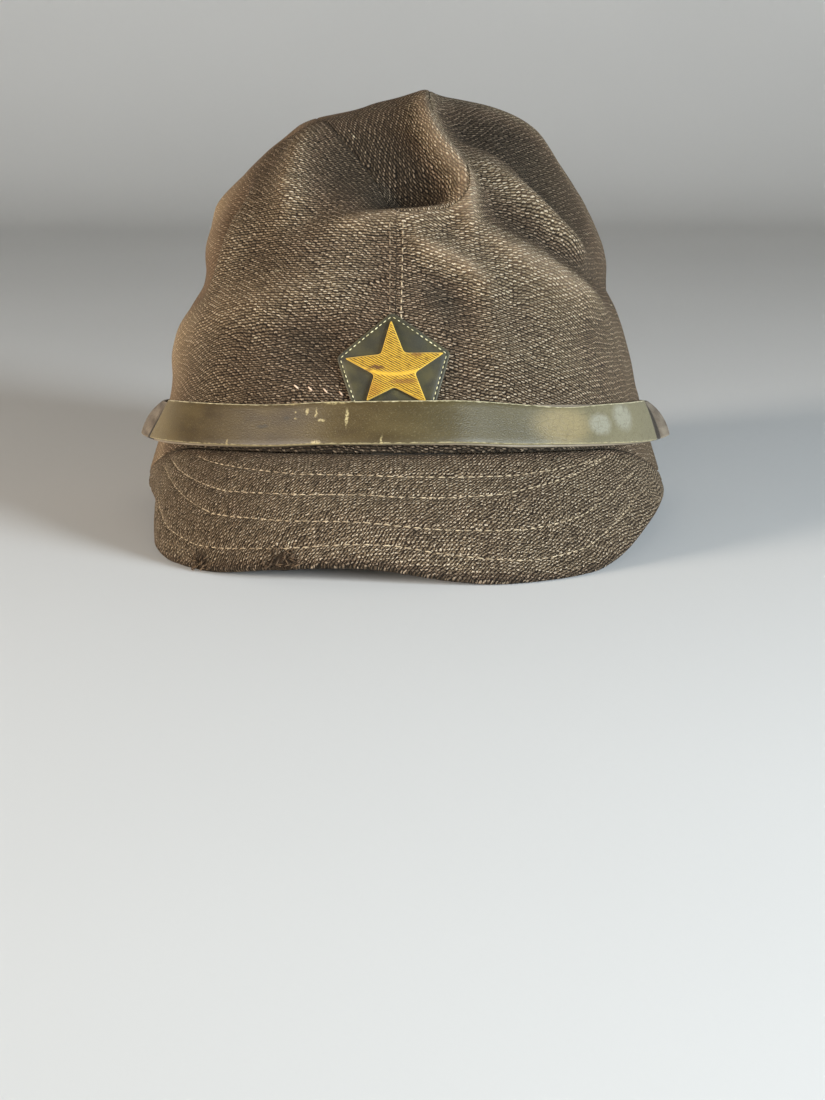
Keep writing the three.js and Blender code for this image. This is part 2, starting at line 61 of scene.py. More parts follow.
# Folds on the flat pattern: width, then across (right), along (back) and depth (outwards) at each point
FOLDS = {
    "lip": (4.5, [-30, -11, 1, 10, 20], [-80, -80, -79, -77.5, -72], [1, 3.5, 4.5, 4.5, 2.5]),
    "pocket": (8, [-5, 0, 12, 16], [-67, -69, -68, -66], [-9, -9, -9, -6]),
    "pocket_broad": (15, [-24, -8, 8], [-52, -60, -58], [-7, -8, -5]),
    "ridge_left_top": (8, [-25, -30, -35, -36], [-28, -47, -60, -74], [1.5, 4, 4.5, 2]),
    "ridge_crisp": (
        4.5, [5, 9, 14.5, 20.5, 23, 25], [-21, -50, -59, -66, -75, -84],
        [2, 6, 6.5, 6.5, 4, 1.5],
    ),
    "ridge_top": (6, [5, 5, 6], [-21, 0, 24], [2.8, 1.4, 0.5]),
    "top_left": (12, [-16, -34, -45, -57], [-4, -9, -12, -15], [-2.5, 0, -3.6, -3]),
    "corner_left": (8, [-66, -72, -78], [-15, -18, -18], [1.4, 2.6, 1]),
    "waist_left_front": (8, [-97, -103, -109], [-13, -20, -26], [-0.6, -1.4, -0.5]),
    "hollow_right": (8, [15, 20, 31], [-34, -38, -40], [-5, -5, -3]),
    "valley_upper": (11, [28, 46, 62, 76], [-36, -40, -40, -36], [-3.5, -6.5, -6, -3.5]),
    "shoulder": (14, [20, 46], [-6, -18], [2, 3.5]),
    "shoulder_right": (
        13, [36, 46, 58, 70, 88], [-13, -15, -15, -14, -8],
        [0.7, 0.8, -0.8, -1.3, -1.4],
    ),
    "waist_right_front": (7, [103, 107, 107, 103], [-26, -8, 14, 34], [-1.5, -4.5, -4.5, -1.5]),
    "rim_right": (8, [123, 126, 124], [-26, -4, 20], [-1.5, -3, -1.5]),
    "hollow_left": (20, [-8, -30], [-34, -12], [-2.5, -3]),
    "lobe_ridge": (6, [22, 38, 57, 76], [-55, -60, -60, -49], [1.5, 2.5, 2.5, 1.5]),
    "valley_lower": (7, [29, 42, 60, 82, 97], [-70, -71, -66, -51, -20], [-2, -2.5, -2.5, -3, -3]),
    "valley_side": (7, [97, 98], [-20, 20], [-3, -2]),
    "ridge_lower": (7, [26, 42, 65, 88, 100], [-79, -80, -74, -57, -34], [2.5, 3.5, 3.5, 1, -2]),
    "seam_ridge": (5, [3, 13, 25, 37], [-86, -89, -91, -94], [2, 3.5, 3.5, 1.5]),
    "seam_hollow": (6, [10, 22, 32], [-97, -99, -100], [-1.5, -3, -1.5]),
    "badge_ridge": (10, [36, 40, 41], [-98, -108, -118], [1.5, 2.5, 1.5]),
    "badge_hollow": (10, [20, 28], [-107, -113], [-1.5, -1.5]),
    "fold_left": (6, [-56, -63, -69, -78], [-38, -45, -50, -54], [-3, -7.5, -7.5, -5]),
    "fold_left_side": (7, [-78, -92, -98], [-54, -36, 10], [-5, -4, -2]),
    "ridge_left": (9, [-48, -60, -72], [-50, -58, -64], [2, 3, 3]),
    "bulge_left": (
        9, [-118, -114, -92, -68, -50, -33, -14], [0, -30, -62, -82, -91, -97, -100],
        [0, 2, 2, 3.5, 4, 3.5, 1.5],
    ),
    "low_hollow": (13, [-56, -34, -18], [-101, -110, -114], [-2, -3, -2]),
    "waist_right": (8, [98, 84, 50, 10], [20, 58, 88, 98], [-2, -3, -3, -1]),
    "waist_left": (8, [-98, -86, -60, -16], [10, 46, 80, 99], [-2, -3, -3, -1]),
    "dent_back": (13, [-14, 6], [62, 70], [-5, -5]),
    "sag_right": (10, [30, 62], [60, 44], [-3, -2]),
    "sag_left": (11, [-44, -66], [58, 28], [-3.5, -2]),
    "roll_back": (10, [-40, 0, 44], [82, 88, 76], [2, 2, 2]),
}

# Small creases of the worn cloth, in the same form
CREASES = {
    "lip_line": (2.2, [-16, -2, 12, 20], [-74.5, -74, -72.5, -67], [-0.6, -1.6, -1.6, -0.4]),
    "ridge_line": (
        2.6, [6, 7, 9, 14.5, 20.5, 23, 25], [-15, -35, -50, -59, -66, -75, -84],
        [1, 1.4, 1.4, 1.6, 1.6, 1.2, 0.4],
    ),
    "valley_line": (3, [18, 29, 48, 62, 74], [-42, -43, -46, -47, -42], [-0.8, -1.2, -1.4, -1.2, -0.4]),
    "lobe_line": (2.6, [24, 38, 57, 76], [-56, -60, -60, -47], [0.8, 1.2, 1.2, 0.5]),
    "lower_line": (2.6, [29, 42, 60, 82], [-70, -71, -66, -51], [-0.6, -1.2, -1.2, -0.6]),
    "ridge_low_line": (2.6, [26, 42, 65, 88], [-79, -80, -74, -57], [0.8, 1.2, 1.2, 0.4]),
    "seam_ridge_line": (2.2, [3, 13, 25, 37], [-86, -89, -91, -94], [0.6, 1.1, 1.1, 0.4]),
    "side_line": (2.6, [-63, -69, -78, -90], [-45, -50, -54, -38], [-0.5, -1.2, -1.2, -0.7]),
    "left_top_line": (3, [-26, -30, -35, -36], [-32, -47, -60, -72], [0.3, 0.8, 0.8, 0.3]),
    "pocket_line": (2.6, [-12, -3, 2], [-54, -62, -70], [-0.4, -0.9, -1]),
    "low_wave": (5, [-96, -70, -40, -18], [-66, -90, -104, -110], [0.2, -0.7, -0.7, -0.2]),
    "low_wave_right": (5, [22, 46, 72, 92], [-106, -100, -86, -66], [-0.2, -0.7, -0.7, -0.2]),
    "seam_pucker": (4, [-12, -26], [-92, -96], [0.6, 0.2]),
    "back_wave": (6, [-60, -20, 30, 66], [96, 112, 108, 90], [-0.5, -0.9, -0.9, -0.4]),
    "back_wave_low": (6, [-80, -30, 24, 76], [100, 126, 128, 104], [0.3, 0.8, 0.8, 0.3]),
}
LUMP_SIZES = [(16, 0.5), (7, 0.22)]
SHADE_AND_WEAR_DEPTH = 6
PEAK_WEAR = 0.62
PEAK_SHADED = 0.1
PEAK_EDGE_SHADE = 0.45
RIM_SHADE_AND_GRIME = 0.5
RIM_SHADE_AND_GRIME_HEIGHT = 16

# Places painted paler or darker, in the same form, with wear for depth: ridges paler from rubbing and painted
# highlight, the two fronts paler as painted light, the rest darker as painted shade
PAINTED_LIGHT_AND_WEAR = {
    "lip": (4, [-18, -6, 3, 12, 20], [-80, -79.5, -78, -76, -73.5], [2, 3.5, 4, 4.5, 4]),
    "ridge": (3.5, [5, 8, 12, 17, 21, 22.5], [-27, -46.5, -57.5, -64, -71.5, -78], [4, 4.5, 4.5, 4, 4, 2]),
    "rim": (4, [16, 29, 42, 53, 66], [-13, -13, -11, -13, -15], [1.5, 1.5, 2, 3, 3]),
    "dish": (10, [15, 28, 42, 57, 68, 76], [-30, -32, -32, -33, -35, -38], [-3, -5, -7, -7, -6, -3]),
    "lobe": (5, [20, 27, 37, 47, 60, 76], [-57, -58, -60, -62, -61, -49], [1, 1, 1.5, 1.5, 1.5, 1.5]),
    "triangle": (6, [25, 34, 47, 63, 80], [-70.5, -69.5, -70, -64, -50], [-1, -1.5, -2, -2, -1.5]),
    "lower_ridge": (4, [27, 38, 50, 67, 84], [-80, -81, -80, -74, -60], [1, 1.5, 1.5, 1.5, 1.5]),
    "seam_ridge": (4, [5, 13, 21.5, 33], [-87, -90, -91, -94], [1.5, 2, 2.5, 2]),
    "below_seam": (8, [8, 21, 32], [-100, -104, -107], [-1.8, -1.8, -1]),
    "right_front": (16, [44, 84], [-94, -80], [3, 3]),
    "left_front": (16, [-66, -96], [-84, -60], [1, 2]),
    "left_dish": (12, [-22, -8, 6], [-46, -52, -54], [-2.5, -2, -1.5]),
    "low_front": (9, [-48, -35, -20, -6], [-102, -110, -117, -114], [-1, -1.5, -1.2, -0.8]),
    "seam": (7, [-4, -3], [-85, -104], [-1.5, -1.5]),
}

# Seams of the top panel on the pattern, from the front point to the back one
SEAM_RIM_ANGLE = [0, 8, 17, 28, 40, 54, 70, 88, 106, 124, 143, 162, 180]
SEAM_LEFT_ACROSS = [0, -2.5, -6, -10.5, -16, -22, -27, -30, -28.5, -22.5, -13.5, -5, 0]
SEAM_LEFT_ALONG = [-79, -72.5, -64.5, -55.5, -46, -33, -18, 0, 18, 35, 52, 67.5, 79]
SEAM_RIGHT_ACROSS = [0, 11, 20.5, 18.5, 12.5, 8.5, 7, 8.5, 16, 19, 13.5, 5, 0]
SEAM_RIGHT_ALONG = [-79, -77.5, -71.5, -60, -51, -39, -22, 0, 20, 36, 52, 67.5, 79]
SEAM_GAP = 0.1
SEAM_ROUNDING = 0.3
EDGE_DEPTHS = np.array([0, 0.12, 0.35, 0.65, 1.0])

# Peak: its outer edge and the rim angle that each place of it grows from
PEAK_THICKNESS = 2.6
PEAK_GAP = 0.12
PEAK_BULGE = 4
PEAK_RIM_ANGLE = [-82, -75, -67, -59, -51, -42, -31, -17, -2, 11, 22, 33, 44, 56, 69, 82]
PEAK_SIDE = [-85, -82, -78.5, -76.5, -74, -66.5, -52, -29, -5, 18, 38, 56, 69, 79, 84.5, 87]
PEAK_BACK = [-15, -30, -47, -68, -86, -103, -120, -134, -138, -137, -132, -120, -102, -75, -46, -15]
PEAK_HEIGHT = [
    -6, -7, -10, -15, -20, -23.2, -24, -21.6, -21.2, -24.6, -26, -25.2, -20.6, -12.5, -7.5, -6,
]

# Rows of stitches on the peak: places round it and out from the rim
PEAK_ROWS = {
    "first": ([0.33, 0.362, 0.47, 0.55, 0.677, 0.79, 0.82], [0.06, 0.115, 0.25, 0.263, 0.2, 0.098, 0.05]),
    "second": ([0.25, 0.289, 0.399, 0.473, 0.552, 0.647, 0.754, 0.8], [0.12, 0.215, 0.398, 0.458, 0.465, 0.38, 0.2, 0.1]),
    "third": ([0.22, 0.305, 0.391, 0.464, 0.552, 0.672, 0.74, 0.784, 0.86], [0.2, 0.405, 0.595, 0.675, 0.698, 0.65, 0.575, 0.487, 0.3]),
    "fourth": ([0.2, 0.305, 0.371, 0.459, 0.556, 0.676, 0.749, 0.85], [0.5, 0.75, 0.835, 0.875, 0.845, 0.863, 0.807, 0.6]),
}
WORN_SPOTS = [(0.381, 0.945, 0.009), (0.461, 0.965, 0.012)]

# Chin strap
STRAP_WIDTH = 12.6
STRAP_HEIGHT = 17
STRAP_DROOP = 0.8
OUTER_THICKNESS = 1.5
UNDER_THICKNESS = 1.2
PIECE_GAP = 0.3
OUTER_FROM = -69
OUTER_TO = 70
OUTER_SLANT = 8
SLANT_REACH = 24
UNDER_END = 122
LOOP_STANDS_OFF = 5.5
LOOP_ANGLE = 89
LOOP_SPREAD = 15
LOOP_LEAN = 0.85
LOOP_CURVE = 2.5
BADGE_CLEARS_FROM = 17
BADGE_CLEARS_TO = 40

# Badge
BADGE_SIDE = -0.4
BADGE_HEIGHT = 33.4
PATCH_RADIUS = 18.4
PATCH_TURN = 0.006
BADGE_THICKNESS = 1
# Corners of the star: side and height from the badge's middle
STAR_CORNERS = {
    "top": (-0.8, 15.8),
    "upper_left": (-3.7, 5.4),
    "left": (-14.9, 4.4),
    "lower_left": (-5.7, -0.7),
    "left_leg": (-8.0, -8.9),
    "notch": (0.4, -4.5),
    "right_leg": (10.2, -9.7),
    "lower_right": (6.5, -0.1),
    "right": (15.3, 6.0),
    "upper_right": (3.2, 5.8),
}

# Buttons
BUTTON_RADIUS = 5.6
BUTTON_HEIGHT = 3.4
BUTTON_ANGLE = 115.5
BUTTON_PROFILE = [
    (0, 0), (0.8, 0), (0.95, 0.08), (1, 0.22), (1, 0.34), (0.95, 0.46), (0.88, 0.52),
    (0.84, 0.56), (0.78, 0.66), (0.6, 0.82), (0.4, 0.93), (0.2, 0.985), (0, 1),
]

# How the cap lies
REST_TILT = math.radians(6.6)
REST_LIFT = 11.3
REST_SHIFT = 18.75

# Camera of the photograph, in the upright cap's millimetres and in pixels
IMAGE = (825, 1100)
CAMERA_DISTANCE = 900
CAMERA_FOCUS = 2655
CAMERA_RISE = math.radians(3)
CAMERA_TURN = math.radians(2)
CAP_MIDDLE_PIXEL = (405, 468)
SENSOR = 36


def column_at(values, t, before=None):
    """Value of an evenly spaced column at t from 0 to 1, as a smooth curve."""
    values = np.asarray(values, float)
    last = len(values) - 1
    place = np.clip(t, 0, 1) * last
    index = np.minimum(np.floor(place).astype(int), last - 1)
    w = place - index
    row = np.concatenate([[values[0] if before is None else before], values, [values[-1]]])
    p0, p1, p2, p3 = (row[index + k] for k in range(4))
    v0, v1 = (p2 - p0) / 2, (p3 - p1) / 2
    return (2 * p1 - 2 * p2 + v0 + v1) * w**3 + (3 * (p2 - p1) - 2 * v0 - v1) * w**2 + v0 * w + p1


def ease(x, low, high):
    t = np.clip((x - low) / (high - low), 0, 1)
    return t * t * (3 - 2 * t)


def unit(v):
    return v / np.maximum(np.linalg.norm(v, axis=-1, keepdims=True), TINY)


def plain_crown(across, along):
    """Crown without folds at a place of the pattern, in shares of its radius."""
    share = np.maximum(np.hypot(across, along), TINY)
    side, back = across / share, along / share
    depth = np.where(back < 0, RIM_FRONT, RIM_BACK)
    wide = np.abs(side / RIM_HALF_WIDTH) ** RIM_ROUNDNESS
    deep = np.abs(back / depth) ** RIM_ROUNDNESS
    reach = (wide + deep) ** (-1 / RIM_ROUNDNESS)
    radius = column_at(SECTION_RADIUS, share, -SECTION_RADIUS[1]) * reach
    height = column_at(SECTION_HEIGHT, share, SECTION_HEIGHT[1])
    lean = CROWN_LEAN * height / SECTION_HEIGHT[0]
    return np.stack([radius * side, radius * back + lean, height], -1)


def crown_normal(across, along):
    right = plain_crown(across + STEP, along) - plain_crown(across - STEP, along)
    rear = plain_crown(across, along + STEP) - plain_crown(across, along - STEP)
    return unit(np.cross(right, rear))


def fold_push(folds, across, along):
    """How far the folds push the cloth outwards."""
    x, y = across * PATTERN, along * PATTERN
    total = np.zeros(np.shape(x))
    for width, xs, ys, depths in folds.values():
        for i in range(len(xs) - 1):
            length = math.hypot(xs[i + 1] - xs[i], ys[i + 1] - ys[i])
            ux, uy = (xs[i + 1] - xs[i]) / length, (ys[i + 1] - ys[i]) / length
            t = (x - xs[i]) * ux + (y - ys[i]) * uy
            off = (x - xs[i]) * uy - (y - ys[i]) * ux
            k = FOLD_END / width
            ends = (np.tanh(k * t) + np.tanh(k * (length - t))) / 2
            deep = depths[i] + (depths[i + 1] - depths[i]) * np.clip(t / length, 0, 1)
            total += deep * ends * np.exp(-((off / width) ** 2))
    return total


def scatter(*parts):
    """Even-looking numbers from 0 to 1 that depend only on their parts."""
    total = sum(np.asarray(part, float) * k for part, k in zip(parts, (12.9898, 78.233, 37.719)))
    value = np.sin(total) * 43758.5453
    return value - np.floor(value)


def lumps(x, y, size, seed):
    """Soft lumps between -1 and 1."""
    x, y = x / size, y / size
    ix, iy = np.floor(x), np.floor(y)
    fx, fy = ease(x - ix, 0, 1), ease(y - iy, 0, 1)
    low = scatter(ix, iy, seed) * (1 - fx) + scatter(ix + 1, iy, seed) * fx
    high = scatter(ix, iy + 1, seed) * (1 - fx) + scatter(ix + 1, iy + 1, seed) * fx
    return 2 * (low * (1 - fy) + high * fy) - 1


SEAM_GRIME = 0.85
RIGHT_SEAM_GRIME = 0.2
SEAM_GRIME_REACH = 0.9
SEAM_FROM = 0.545


def crown_shade_and_wear(across, along, from_seam):
    """How far a place stands out of its folds, 0.5 for plain cloth, for painted shade in the hollows and paler ridges
    from rubbing and painted highlight, with painted shade and some grime low on the front, and how much nap hides its
    threads.
    """
    push = fold_push(FOLDS, across, along) + 1.5 * fold_push(CREASES, across, along)
    push = push + fold_push(PAINTED_LIGHT_AND_WEAR, across, along)
    # Painted shade with some grime: darker low on the front, under the strap
    low = 1 - ease(plain_crown(across, along)[..., 2], RIM_SHADE_AND_GRIME_HEIGHT / 2, RIM_SHADE_AND_GRIME_HEIGHT)
    low = low * ease(-along, 0.4, 0.75)
    # Painted shade in the hollows and paler ridges from rubbing and painted highlight, after the fold push
    shade_and_wear = 0.5 + 0.5 * np.tanh(push / SHADE_AND_WEAR_DEPTH) - RIM_SHADE_AND_GRIME * low
    seam = 1 - ease(from_seam, 0.3, SEAM_GRIME_REACH)
    uneven = 0.75 + 0.5 * lumps(across * PATTERN, along * PATTERN, 5, 21)
    grime = np.where(across * PATTERN > 2, RIGHT_SEAM_GRIME, SEAM_GRIME)
    shade_and_wear = shade_and_wear * (1 - grime * seam * uneven)
    # Nap: smoother, even colour on the sides of the front, strongest on the left, partly real raised nap and partly
    # painted sheen where the fuzz catches the light
    aside = np.abs(across) / (np.abs(across) + np.maximum(-along, 0.05))
    nap = ease(aside, 0.5, 0.75) * (1 - ease(along, -0.1, 0.3)) * np.where(across < 0, 1.0, 0.25)
    return np.stack([shade_and_wear, nap], -1).reshape(-1, 2)


def crown_at(across, along, outwards=0.0, fine=True):
    """Place on the folded crown, a distance outwards from its cloth."""
    place = plain_crown(across, along)
    push = fold_push(FOLDS, across, along)
    if fine:
        push = push + fold_push(CREASES, across, along)
        for number, (size, depth) in enumerate(LUMP_SIZES):
            push = push + depth * lumps(across * PATTERN, along * PATTERN, size, number)
    push = push * ease(place[..., 2], FOLDS_START_HEIGHT, FOLDS_FULL_HEIGHT)
    return place + crown_normal(across, along) * (push + outwards)[..., None]


SHARES = np.linspace(0, 1, 4001)
SHARE_HEIGHTS = column_at(SECTION_HEIGHT, SHARES, SECTION_HEIGHT[1])


def share_at_height(height):
    return np.interp(height, SHARE_HEIGHTS[::-1], SHARES[::-1])


def on_pattern(share, angle):
    turn = np.radians(angle)
    return share * np.sin(turn), -share * np.cos(turn)


def rim_share(angle):
    return share_at_height(RIM_ARCH * ease(np.cos(np.radians(angle)), ARCH_STARTS, ARCH_FULL))


def seam_at(side, t, inwards):
    """Place of a top seam on the pattern, moved inwards over the top panel."""
    columns = (SEAM_LEFT_ACROSS, SEAM_LEFT_ALONG) if side < 0 else (SEAM_RIGHT_ACROSS, SEAM_RIGHT_ALONG)
    across, along = (column_at(c, t) for c in columns)
    before, after = np.clip(t - STEP, 0, 1), np.clip(t + STEP, 0, 1)
    dx, dy = (column_at(c, after) - column_at(c, before) for c in columns)
    length = np.maximum(np.hypot(dx, dy), TINY)
    inwards = inwards * np.minimum(1, np.minimum(t, 1 - t) * 40)
    across = across - side * inwards * dy / length
    along = along + side * inwards * dx / length
    return across / PATTERN, along / PATTERN


def pressed(places):
    """Cloth that reaches below the table is pressed flat on it."""
    up = np.array([0, -math.sin(REST_TILT), math.cos(REST_TILT)])
    height = places @ up + REST_LIFT
    return places + up * np.maximum(0, -height)[..., None]


def to_world(places):
    """Upright cap in millimetres to the lying cap in metres."""
    x, y, z = np.moveaxis(np.asarray(places, float), -1, 0)
    c, s = math.cos(REST_TILT), math.sin(REST_TILT)
    return np.stack([x, y * c + z * s + REST_SHIFT, z * c - y * s + REST_LIFT], -1) / 1000


def flatten(points, rounds=300):
    """Flat cutting pattern of a cloth grid: every thread keeps its length as well as it can."""
    n, m = points.shape[:2]
    row_length = np.linalg.norm(np.diff(points, axis=1), axis=-1)
    column_length = np.linalg.norm(np.diff(points, axis=0), axis=-1)
    u = np.cumsum(np.concatenate([[0], row_length.mean(0)]))
    v = np.cumsum(np.concatenate([[0], column_length.mean(1)]))
    flat = np.stack(np.meshgrid(v, u, indexing="ij")[::-1], -1).reshape(-1, 2)
    index = np.arange(n * m).reshape(n, m)
    first = [index[:, :-1], index[:-1], index[:-1, :-1], index[:-1, 1:]]
    second = [index[:, 1:], index[1:], index[1:, 1:], index[1:, :-1]]
    weights = [np.full(a.size, w) for a, w in zip(first, (1, 1, 0.5, 0.5))]
    a, b, weight = (np.concatenate([part.ravel() for part in parts]) for parts in (first, second, weights))
    places = points.reshape(-1, 3)
    rest = np.linalg.norm(places[b] - places[a], axis=-1)
    system = np.full((n * m, n * m), TINY)
    np.add.at(system, (a, a), weight)
    np.add.at(system, (b, b), weight)
    np.add.at(system, (a, b), -weight)
    np.add.at(system, (b, a), -weight)
    solver = np.linalg.inv(system + 1e-6 * np.eye(n * m))
    for _ in range(rounds):
        gap = flat[b] - flat[a]
        now = np.maximum(np.linalg.norm(gap, axis=-1), TINY)
        wanted = gap * (weight * rest / now)[:, None]
        pull = np.zeros_like(flat)
        np.add.at(pull, b, wanted)
        np.add.at(pull, a, -wanted)
        flat = solver @ pull
    return flat.reshape(n, m, 2)


def resample(coarse, rows, columns):
    """Values of a coarse grid at shares of its rows and columns."""
    n, m = coarse.shape[:2]
    i, j = np.clip(rows, 0, 1) * (n - 1), np.clip(columns, 0, 1) * (m - 1)
    i0, j0 = np.minimum(i.astype(int), n - 2), np.minimum(j.astype(int), m - 2)
    a, b = (i - i0)[..., None], (j - j0)[..., None]
    top = coarse[i0, j0] * (1 - b) + coarse[i0, j0 + 1] * b
    low = coarse[i0 + 1, j0] * (1 - b) + coarse[i0 + 1, j0 + 1] * b
    return top * (1 - a) + low * a


def turned(flat, angle, heading):
    """Flat pattern turned so that its threads run at an angle to a heading of the grid."""
    turn = math.radians(angle) - math.atan2(heading[1], heading[0])
    c, s = math.cos(turn), math.sin(turn)
    return flat @ np.array([[c, s], [-s, c]])


def graded(count, length):
    """Shares along a length in millimetres, close together within an edge's roundness of both ends."""
    length = np.asarray(length, float)
    edge = EDGE_DEPTHS.reshape((-1,) + (1,) * length.ndim)
    middle = np.linspace(0, 1, count)[1:-1].reshape((-1,) + (1,) * length.ndim)
    inner = EDGE_DEPTHS[-1] + (length - 2 * EDGE_DEPTHS[-1]) * middle
    zero = 0 * length
    return np.concatenate([edge + zero, inner, length - edge[::-1]]) / length


def rounding(depth, half):
    """How far an edge falls back at a depth in from it."""
    share = 1 - np.clip(depth / EDGE_DEPTHS[-1], 0, 1)
    return -half * (1 - np.sqrt(1 - share**2))


def shell(outer, inner):
    """Places and faces of the closed sheet between two grids."""
    n, m = outer.shape[:2]
    front = np.arange(n * m).reshape(n, m)
    behind = front + n * m

    def quads(a, b, c, d):
        return np.stack([a, b, c, d], -1).reshape(-1, 4)

    faces = [
        quads(front[:-1, :-1], front[:-1, 1:], front[1:, 1:], front[1:, :-1]),
        quads(behind[:-1, :-1], behind[1:, :-1], behind[1:, 1:], behind[:-1, 1:]),
        quads(front[:-1, 0], front[1:, 0], behind[1:, 0], behind[:-1, 0]),
        quads(front[1:, -1], front[:-1, -1], behind[:-1, -1], behind[1:, -1]),
        quads(front[0, 1:], front[0, :-1], behind[0, :-1], behind[0, 1:]),
        quads(front[-1, :-1], front[-1, 1:], behind[-1, 1:], behind[-1, :-1]),
    ]
    places = np.concatenate([outer.reshape(-1, 3), inner.reshape(-1, 3)])
    return places, np.concatenate(faces)


def tube(rings):
    """Places and faces of a closed body from rings of points, its ends closed by fans."""
    n, m = rings.shape[:2]
    index = np.arange(n * m).reshape(n, m)
    after = np.roll(index, -1, axis=1)
    sides = np.stack([index[:-1], after[:-1], after[1:], index[1:]], -1).reshape(-1, 4)
    middles = np.stack([rings[0].mean(0), rings[-1].mean(0)])
    first, last = n * m, n * m + 1
    caps = [[first, b, a] for a, b in zip(index[0], after[0])]
    caps += [[last, a, b] for a, b in zip(index[-1], after[-1])]
    return np.concatenate([rings.reshape(-1, 3), middles]), sides.tolist() + caps


def outward_faces(places, faces):
    """The faces, turned round where the body they close is inside out."""
    volume = 0
    for face in faces:
        for k in range(1, len(face) - 1):
            a, b, c = places[face[0]], places[face[k]], places[face[k + 1]]
            volume += a @ np.cross(b, c)
    return faces if volume > 0 else [face[::-1] for face in faces]


def quad_volume(places, faces):
    a, b, c, d = (places[faces[:, k]] for k in range(4))
    return (a * np.cross(b, c)).sum() + (a * np.cross(c, d)).sum()


def make_piece(name, places, faces, material, maps=None, weld=True):
    """Mesh object in the frame, from places of the upright cap."""
    if isinstance(faces, np.ndarray):
        faces = (faces if quad_volume(places, faces) > 0 else faces[:, ::-1]).tolist()
    mesh = bpy.data.meshes.new(name)
    mesh.from_pydata(to_world(places).tolist(), [], faces)
    corners = np.empty(len(mesh.loops), np.int32)
    mesh.loops.foreach_get("vertex_index", corners)
    for label, values in (maps or {}).items():
        layer = mesh.uv_layers.new(name=label)
        layer.data.foreach_set("uv", np.asarray(values, np.float32)[corners].ravel())
    if weld:
        body = bmesh.new()
        body.from_mesh(mesh)
        bmesh.ops.remove_doubles(body, verts=body.verts, dist=2e-6)
        bmesh.ops.dissolve_degenerate(body, edges=body.edges, dist=1e-7)
        body.to_mesh(mesh)
        body.free()
    mesh.polygons.foreach_set("use_smooth", np.ones(len(mesh.polygons), bool))
    mesh.materials.append(material)
    mesh.update()
    piece = bpy.data.objects.new(name, mesh)
    bpy.context.scene.collection.objects.link(piece)
    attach(piece, "root")
    return piece


def srgb(red, green, blue):
    """Linear colour from one given in the usual 0 to 255."""
    parts = np.array([red, green, blue]) / 255
    linear = np.where(parts <= 0.04045, parts / 12.92, ((parts + 0.055) / 1.055) ** 2.4)
    return (*linear.tolist(), 1.0)


